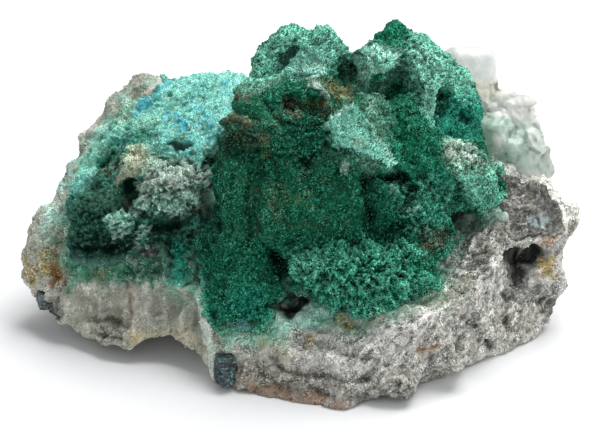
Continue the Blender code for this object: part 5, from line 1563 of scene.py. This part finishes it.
def crystal_faces(name, low, high, clump, tip, inputs):
    """Small crystal faces: the tint of the skin below, lighter or darker from grain to grain.

    The palest grains are painted glints on the green and rock grains and whitish ends on the crust; they have
    a colour, the shade that they start at, a strength, and the share of their colour.
    """
    material, tree, place = new_material(name)
    tint = add(tree, "ShaderNodeAttribute", attribute_name="tint").outputs["Color"]
    shade = add(tree, "ShaderNodeAttribute", attribute_name="shade").outputs["Fac"]
    specks = add(tree, "ShaderNodeAttribute", attribute_name="specks").outputs["Fac"]
    colour = tint
    for level in (
        add(tree, "ShaderNodeMapRange", (shade, *SHADE_SPAN, low, high)).outputs[0],
        pattern(tree, place, DRUSE_SIZE, 2.0, GRAIN_LEVELS, DRUSE_TINT),
        pattern(tree, place, CLUMP_SIZE, 1.0, GRAIN_LEVELS, (1.0 - clump, 1.0 + clump)),
    ):
        colour = add(tree, "ShaderNodeVectorMath", {0: colour, 3: level}, operation="SCALE").outputs[0]
    hue, start, strength, share = tip
    pale = add(tree, "ShaderNodeVectorMath", {0: tint, 3: GLEAM}, operation="SCALE").outputs[0]
    pale = add(tree, "ShaderNodeMix", {0: share, 6: pale, 7: hue}, data_type="RGBA").outputs[2]
    chosen = add(tree, "ShaderNodeMapRange", (shade, start, start + TIP_EDGE, 0.0, strength)).outputs[0]
    colour = add(tree, "ShaderNodeMix", {0: chosen, 6: colour, 7: pale}, data_type="RGBA").outputs[2]
    drift = pattern(tree, place, NEST_SIZE, 1.0, NEST_LEVELS, (0.0, 1.0))
    gold = add(tree, "ShaderNodeMix", {0: drift, 6: GOLD_GRAIN, 7: RUST_GRAIN}, data_type="RGBA").outputs[2]
    rare = add(tree, "ShaderNodeMapRange", (shade, *RARE, 1.0, 0.0)).outputs[0]
    rare = add(tree, "ShaderNodeMath", (rare, specks), operation="MULTIPLY").outputs[0]
    colour = add(tree, "ShaderNodeMix", {0: rare, 6: colour, 7: gold}, data_type="RGBA").outputs[2]
    return surfaced(material, {"Base Color": colour, **inputs})


def brochantite_velvet():
    """A felt of tiny needles, with painted shade nearly black between them and painted highlights, pale
    green, where they catch the light.
    """
    return mineral(
        "brochantite_velvet", 0.19, (0.85, 0.4, 0.25),
        ("02100B", 0.42, 0.8, 0.4), ("6ED2B2", 0.62, 0.9, 0.4), 0.9,
        {"Roughness": 0.85, "Specular IOR Level": 0.08},
    )


def turquoise_crust():
    """A dull, powdery crust with an even grain."""
    return mineral(
        "turquoise_crust", 0.19, (0.25, 0.1, 0.05),
        ("0C4636", 0.38, 0.4, 0.4), ("EEF6EE", 0.61, 0.6, 0.0), 0.8,
        {"Roughness": 0.9, "Specular IOR Level": 0.06},
    )


def granular_rock():
    """Quartz and feldspar grains, broken rough: speckled light and dark, with little shine."""
    return mineral(
        "granular_rock", 0.20, (0.4, 0.25, 0.25),
        ("2B2A26", 0.37, 0.6, 0.4), ("FBFBF8", 0.63, 0.5, 0.2), 0.8,
        {"Roughness": 0.8, "Specular IOR Level": 0.15},
    )


def dull_galena():
    """Weathered galena cleavage: lead grey with a half-metallic shine on the faces."""
    return mineral(
        "dull_galena", 0.22, (0.6, 0.3, 0.2),
        ("141412", 0.38, 0.5, 0.4), ("D8DAD6", 0.63, 0.6, 0.2), 0.5,
        {"Roughness": 0.45, "Metallic": 0.2, "Specular IOR Level": 0.5},
    )


def milky_quartz():
    """Quartz grown clear over a cloudy core: light shines through thin places and stays in thick ones."""
    material, tree, place = new_material("milky_quartz")
    tint = add(tree, "ShaderNodeAttribute", attribute_name="tint").outputs["Color"]
    cloud = add(tree, "ShaderNodeTexNoise", {"Vector": place, "Scale": 1 / (CLOUD_SIZE * MM), "Detail": 4.0})
    cloud = cloud.outputs["Fac"]
    level = add(tree, "ShaderNodeMapRange", (cloud, *CLOUD_LEVELS, *CLOUD_TINT)).outputs[0]
    colour = add(tree, "ShaderNodeVectorMath", {0: tint, 3: level}, operation="SCALE").outputs[0]
    rough = add(tree, "ShaderNodeBump", {"Height": cloud, "Strength": 0.4, "Distance": 0.6 * MM})
    return surfaced(material, {
        "Base Color": colour, "Normal": rough.outputs[0], "Roughness": 0.35, "IOR": 1.45,
        "Transmission Weight": 0.4,
    })


def brochantite_crystals():
    """Glassy dark green prisms: most stay dark, and some carry a painted pale glint."""
    return crystal_faces(
        "brochantite_crystals", 0.25, 1.55, 0.6, ("80D8BA", 0.94, 1.0, 0.6),
        {"Roughness": 0.5, "Specular IOR Level": 0.12},
    )


def crust_crystals():
    """Dull turquoise grains with whitish ends."""
    return crystal_faces(
        "crust_crystals", 0.6, 1.3, 0.2, ("F2F8F0", 0.93, 0.7, 0.1),
        {"Roughness": 0.7, "Specular IOR Level": 0.1},
    )


def rock_sugar():
    """Loose sugary quartz grains, a few with a painted sparkle."""
    return crystal_faces(
        "rock_sugar", 0.55, 1.35, 0.15, ("FAFAF6", 0.93, 0.6, 0.2),
        {"Roughness": 0.5, "Specular IOR Level": 0.2},
    )


def clad(made, material, node=None):
    """Gives a piece its material and its place in the frame."""
    made.data.materials.clear()
    made.data.materials.append(material)
    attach(made, "root")
    if node:
        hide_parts(node)


def build_specimen():
    """Dresses the seven CAD pieces and grows grains on the green masses and the rock."""
    mass = dress("brochantite_mass", MASS)
    crust = dress("brochantite_crust_left", CRUST)
    rock = dress("host_rock", ROCK)
    quartz = dress("quartz_crystals", QUARTZ)
    shards = dress("galena_right", SHARDS)
    front_block = dress("galena_front", STEPS)
    left_grains = dress("galena_left", STEPS)
    share = 1.0
    needle = brochantite_crystals()
    for name, host, count, size, tilt, seed, material, slot in (
        ("brochantite_mass_grains", mass, MASS_GRAINS, FINE_GRAIN, 1.1, 3, needle, "brochantite"),
        ("brochantite_mass_sugar", mass, MASS_GRAINS, FINE_GRAIN, 1.1, 11, needle, "brochantite"),
        ("crust_left_grains", crust, CRUST_GRAINS, FINE_GRAIN, 0.8, 5, crust_crystals(), "green_crust"),
        ("host_rock_grains", rock, ROCK_GRAINS, COARSE_GRAIN, 1.1, 7, rock_sugar(), "host_rock"),
    ):
        clad(grains(name, host, count * share, size, tilt, seed, material), material)
    galena = dull_galena()
    for made, material, slot, node in (
        (mass, brochantite_velvet(), "brochantite", "brochantite_mass"),
        (crust, turquoise_crust(), "green_crust", "brochantite_crust_left"),
        (rock, granular_rock(), "host_rock", "host_rock"),
        (quartz, milky_quartz(), "quartz", "quartz_crystals"),
        (shards, galena, "galena", "galena_right"),
        (front_block, galena, "galena", "galena_front"),
        (left_grains, galena, "galena", "galena_left"),
    ):
        clad(made, material, node)


def build_floor():
    """A pale paper floor."""
    bpy.ops.mesh.primitive_plane_add(size=FLOOR_WIDTH, location=(0, 0, 0))
    floor = bpy.context.object
    floor.name = "floor"
    paper = bpy.data.materials.new("white_floor")
    paper.use_nodes = True
    inputs = paper.node_tree.nodes["Principled BSDF"].inputs
    inputs["Base Color"].default_value = PAPER
    inputs["Roughness"].default_value = 0.9
    inputs["Specular IOR Level"].default_value = 0.1
    floor.data.materials.append(paper)


def build_lights():
    """An even pale surround, a soft box above and behind, and two weak fills."""
    world = bpy.data.worlds.new("studio")
    world.use_nodes = True
    inputs = world.node_tree.nodes["Background"].inputs
    inputs["Color"].default_value = SURROUND
    inputs["Strength"].default_value = SURROUND_STRENGTH
    bpy.context.scene.world = world
    for name, place, size, watts in LAMPS:
        data = bpy.data.lights.new(name, "AREA")
        data.shape = "SQUARE"
        data.size = size
        data.energy = watts
        lamp = bpy.data.objects.new(name, data)
        lamp.location = place
        lamp.rotation_mode = "QUATERNION"
        lamp.rotation_quaternion = (LIT_PLACE - Vector(place)).to_track_quat("-Z", "Y")
        bpy.context.scene.collection.objects.link(lamp)


def build_camera():
    """The photo's view: far away, with a long lens."""
    data = bpy.data.cameras.new("camera")
    data.sensor_width = SENSOR
    data.lens = LENS
    data.clip_start = 0.01
    data.clip_end = 10.0
    camera = bpy.data.objects.new("camera", data)
    camera.location = upright(0.0, -REACH, 0.0)
    camera.rotation_euler = (math.pi / 2 - LEAN, 0.0, 0.0)
    scene = bpy.context.scene
    scene.collection.objects.link(camera)
    scene.camera = camera
    scene.view_settings.view_transform = "Standard"


build_specimen()
build_floor()
build_lights()
build_camera()
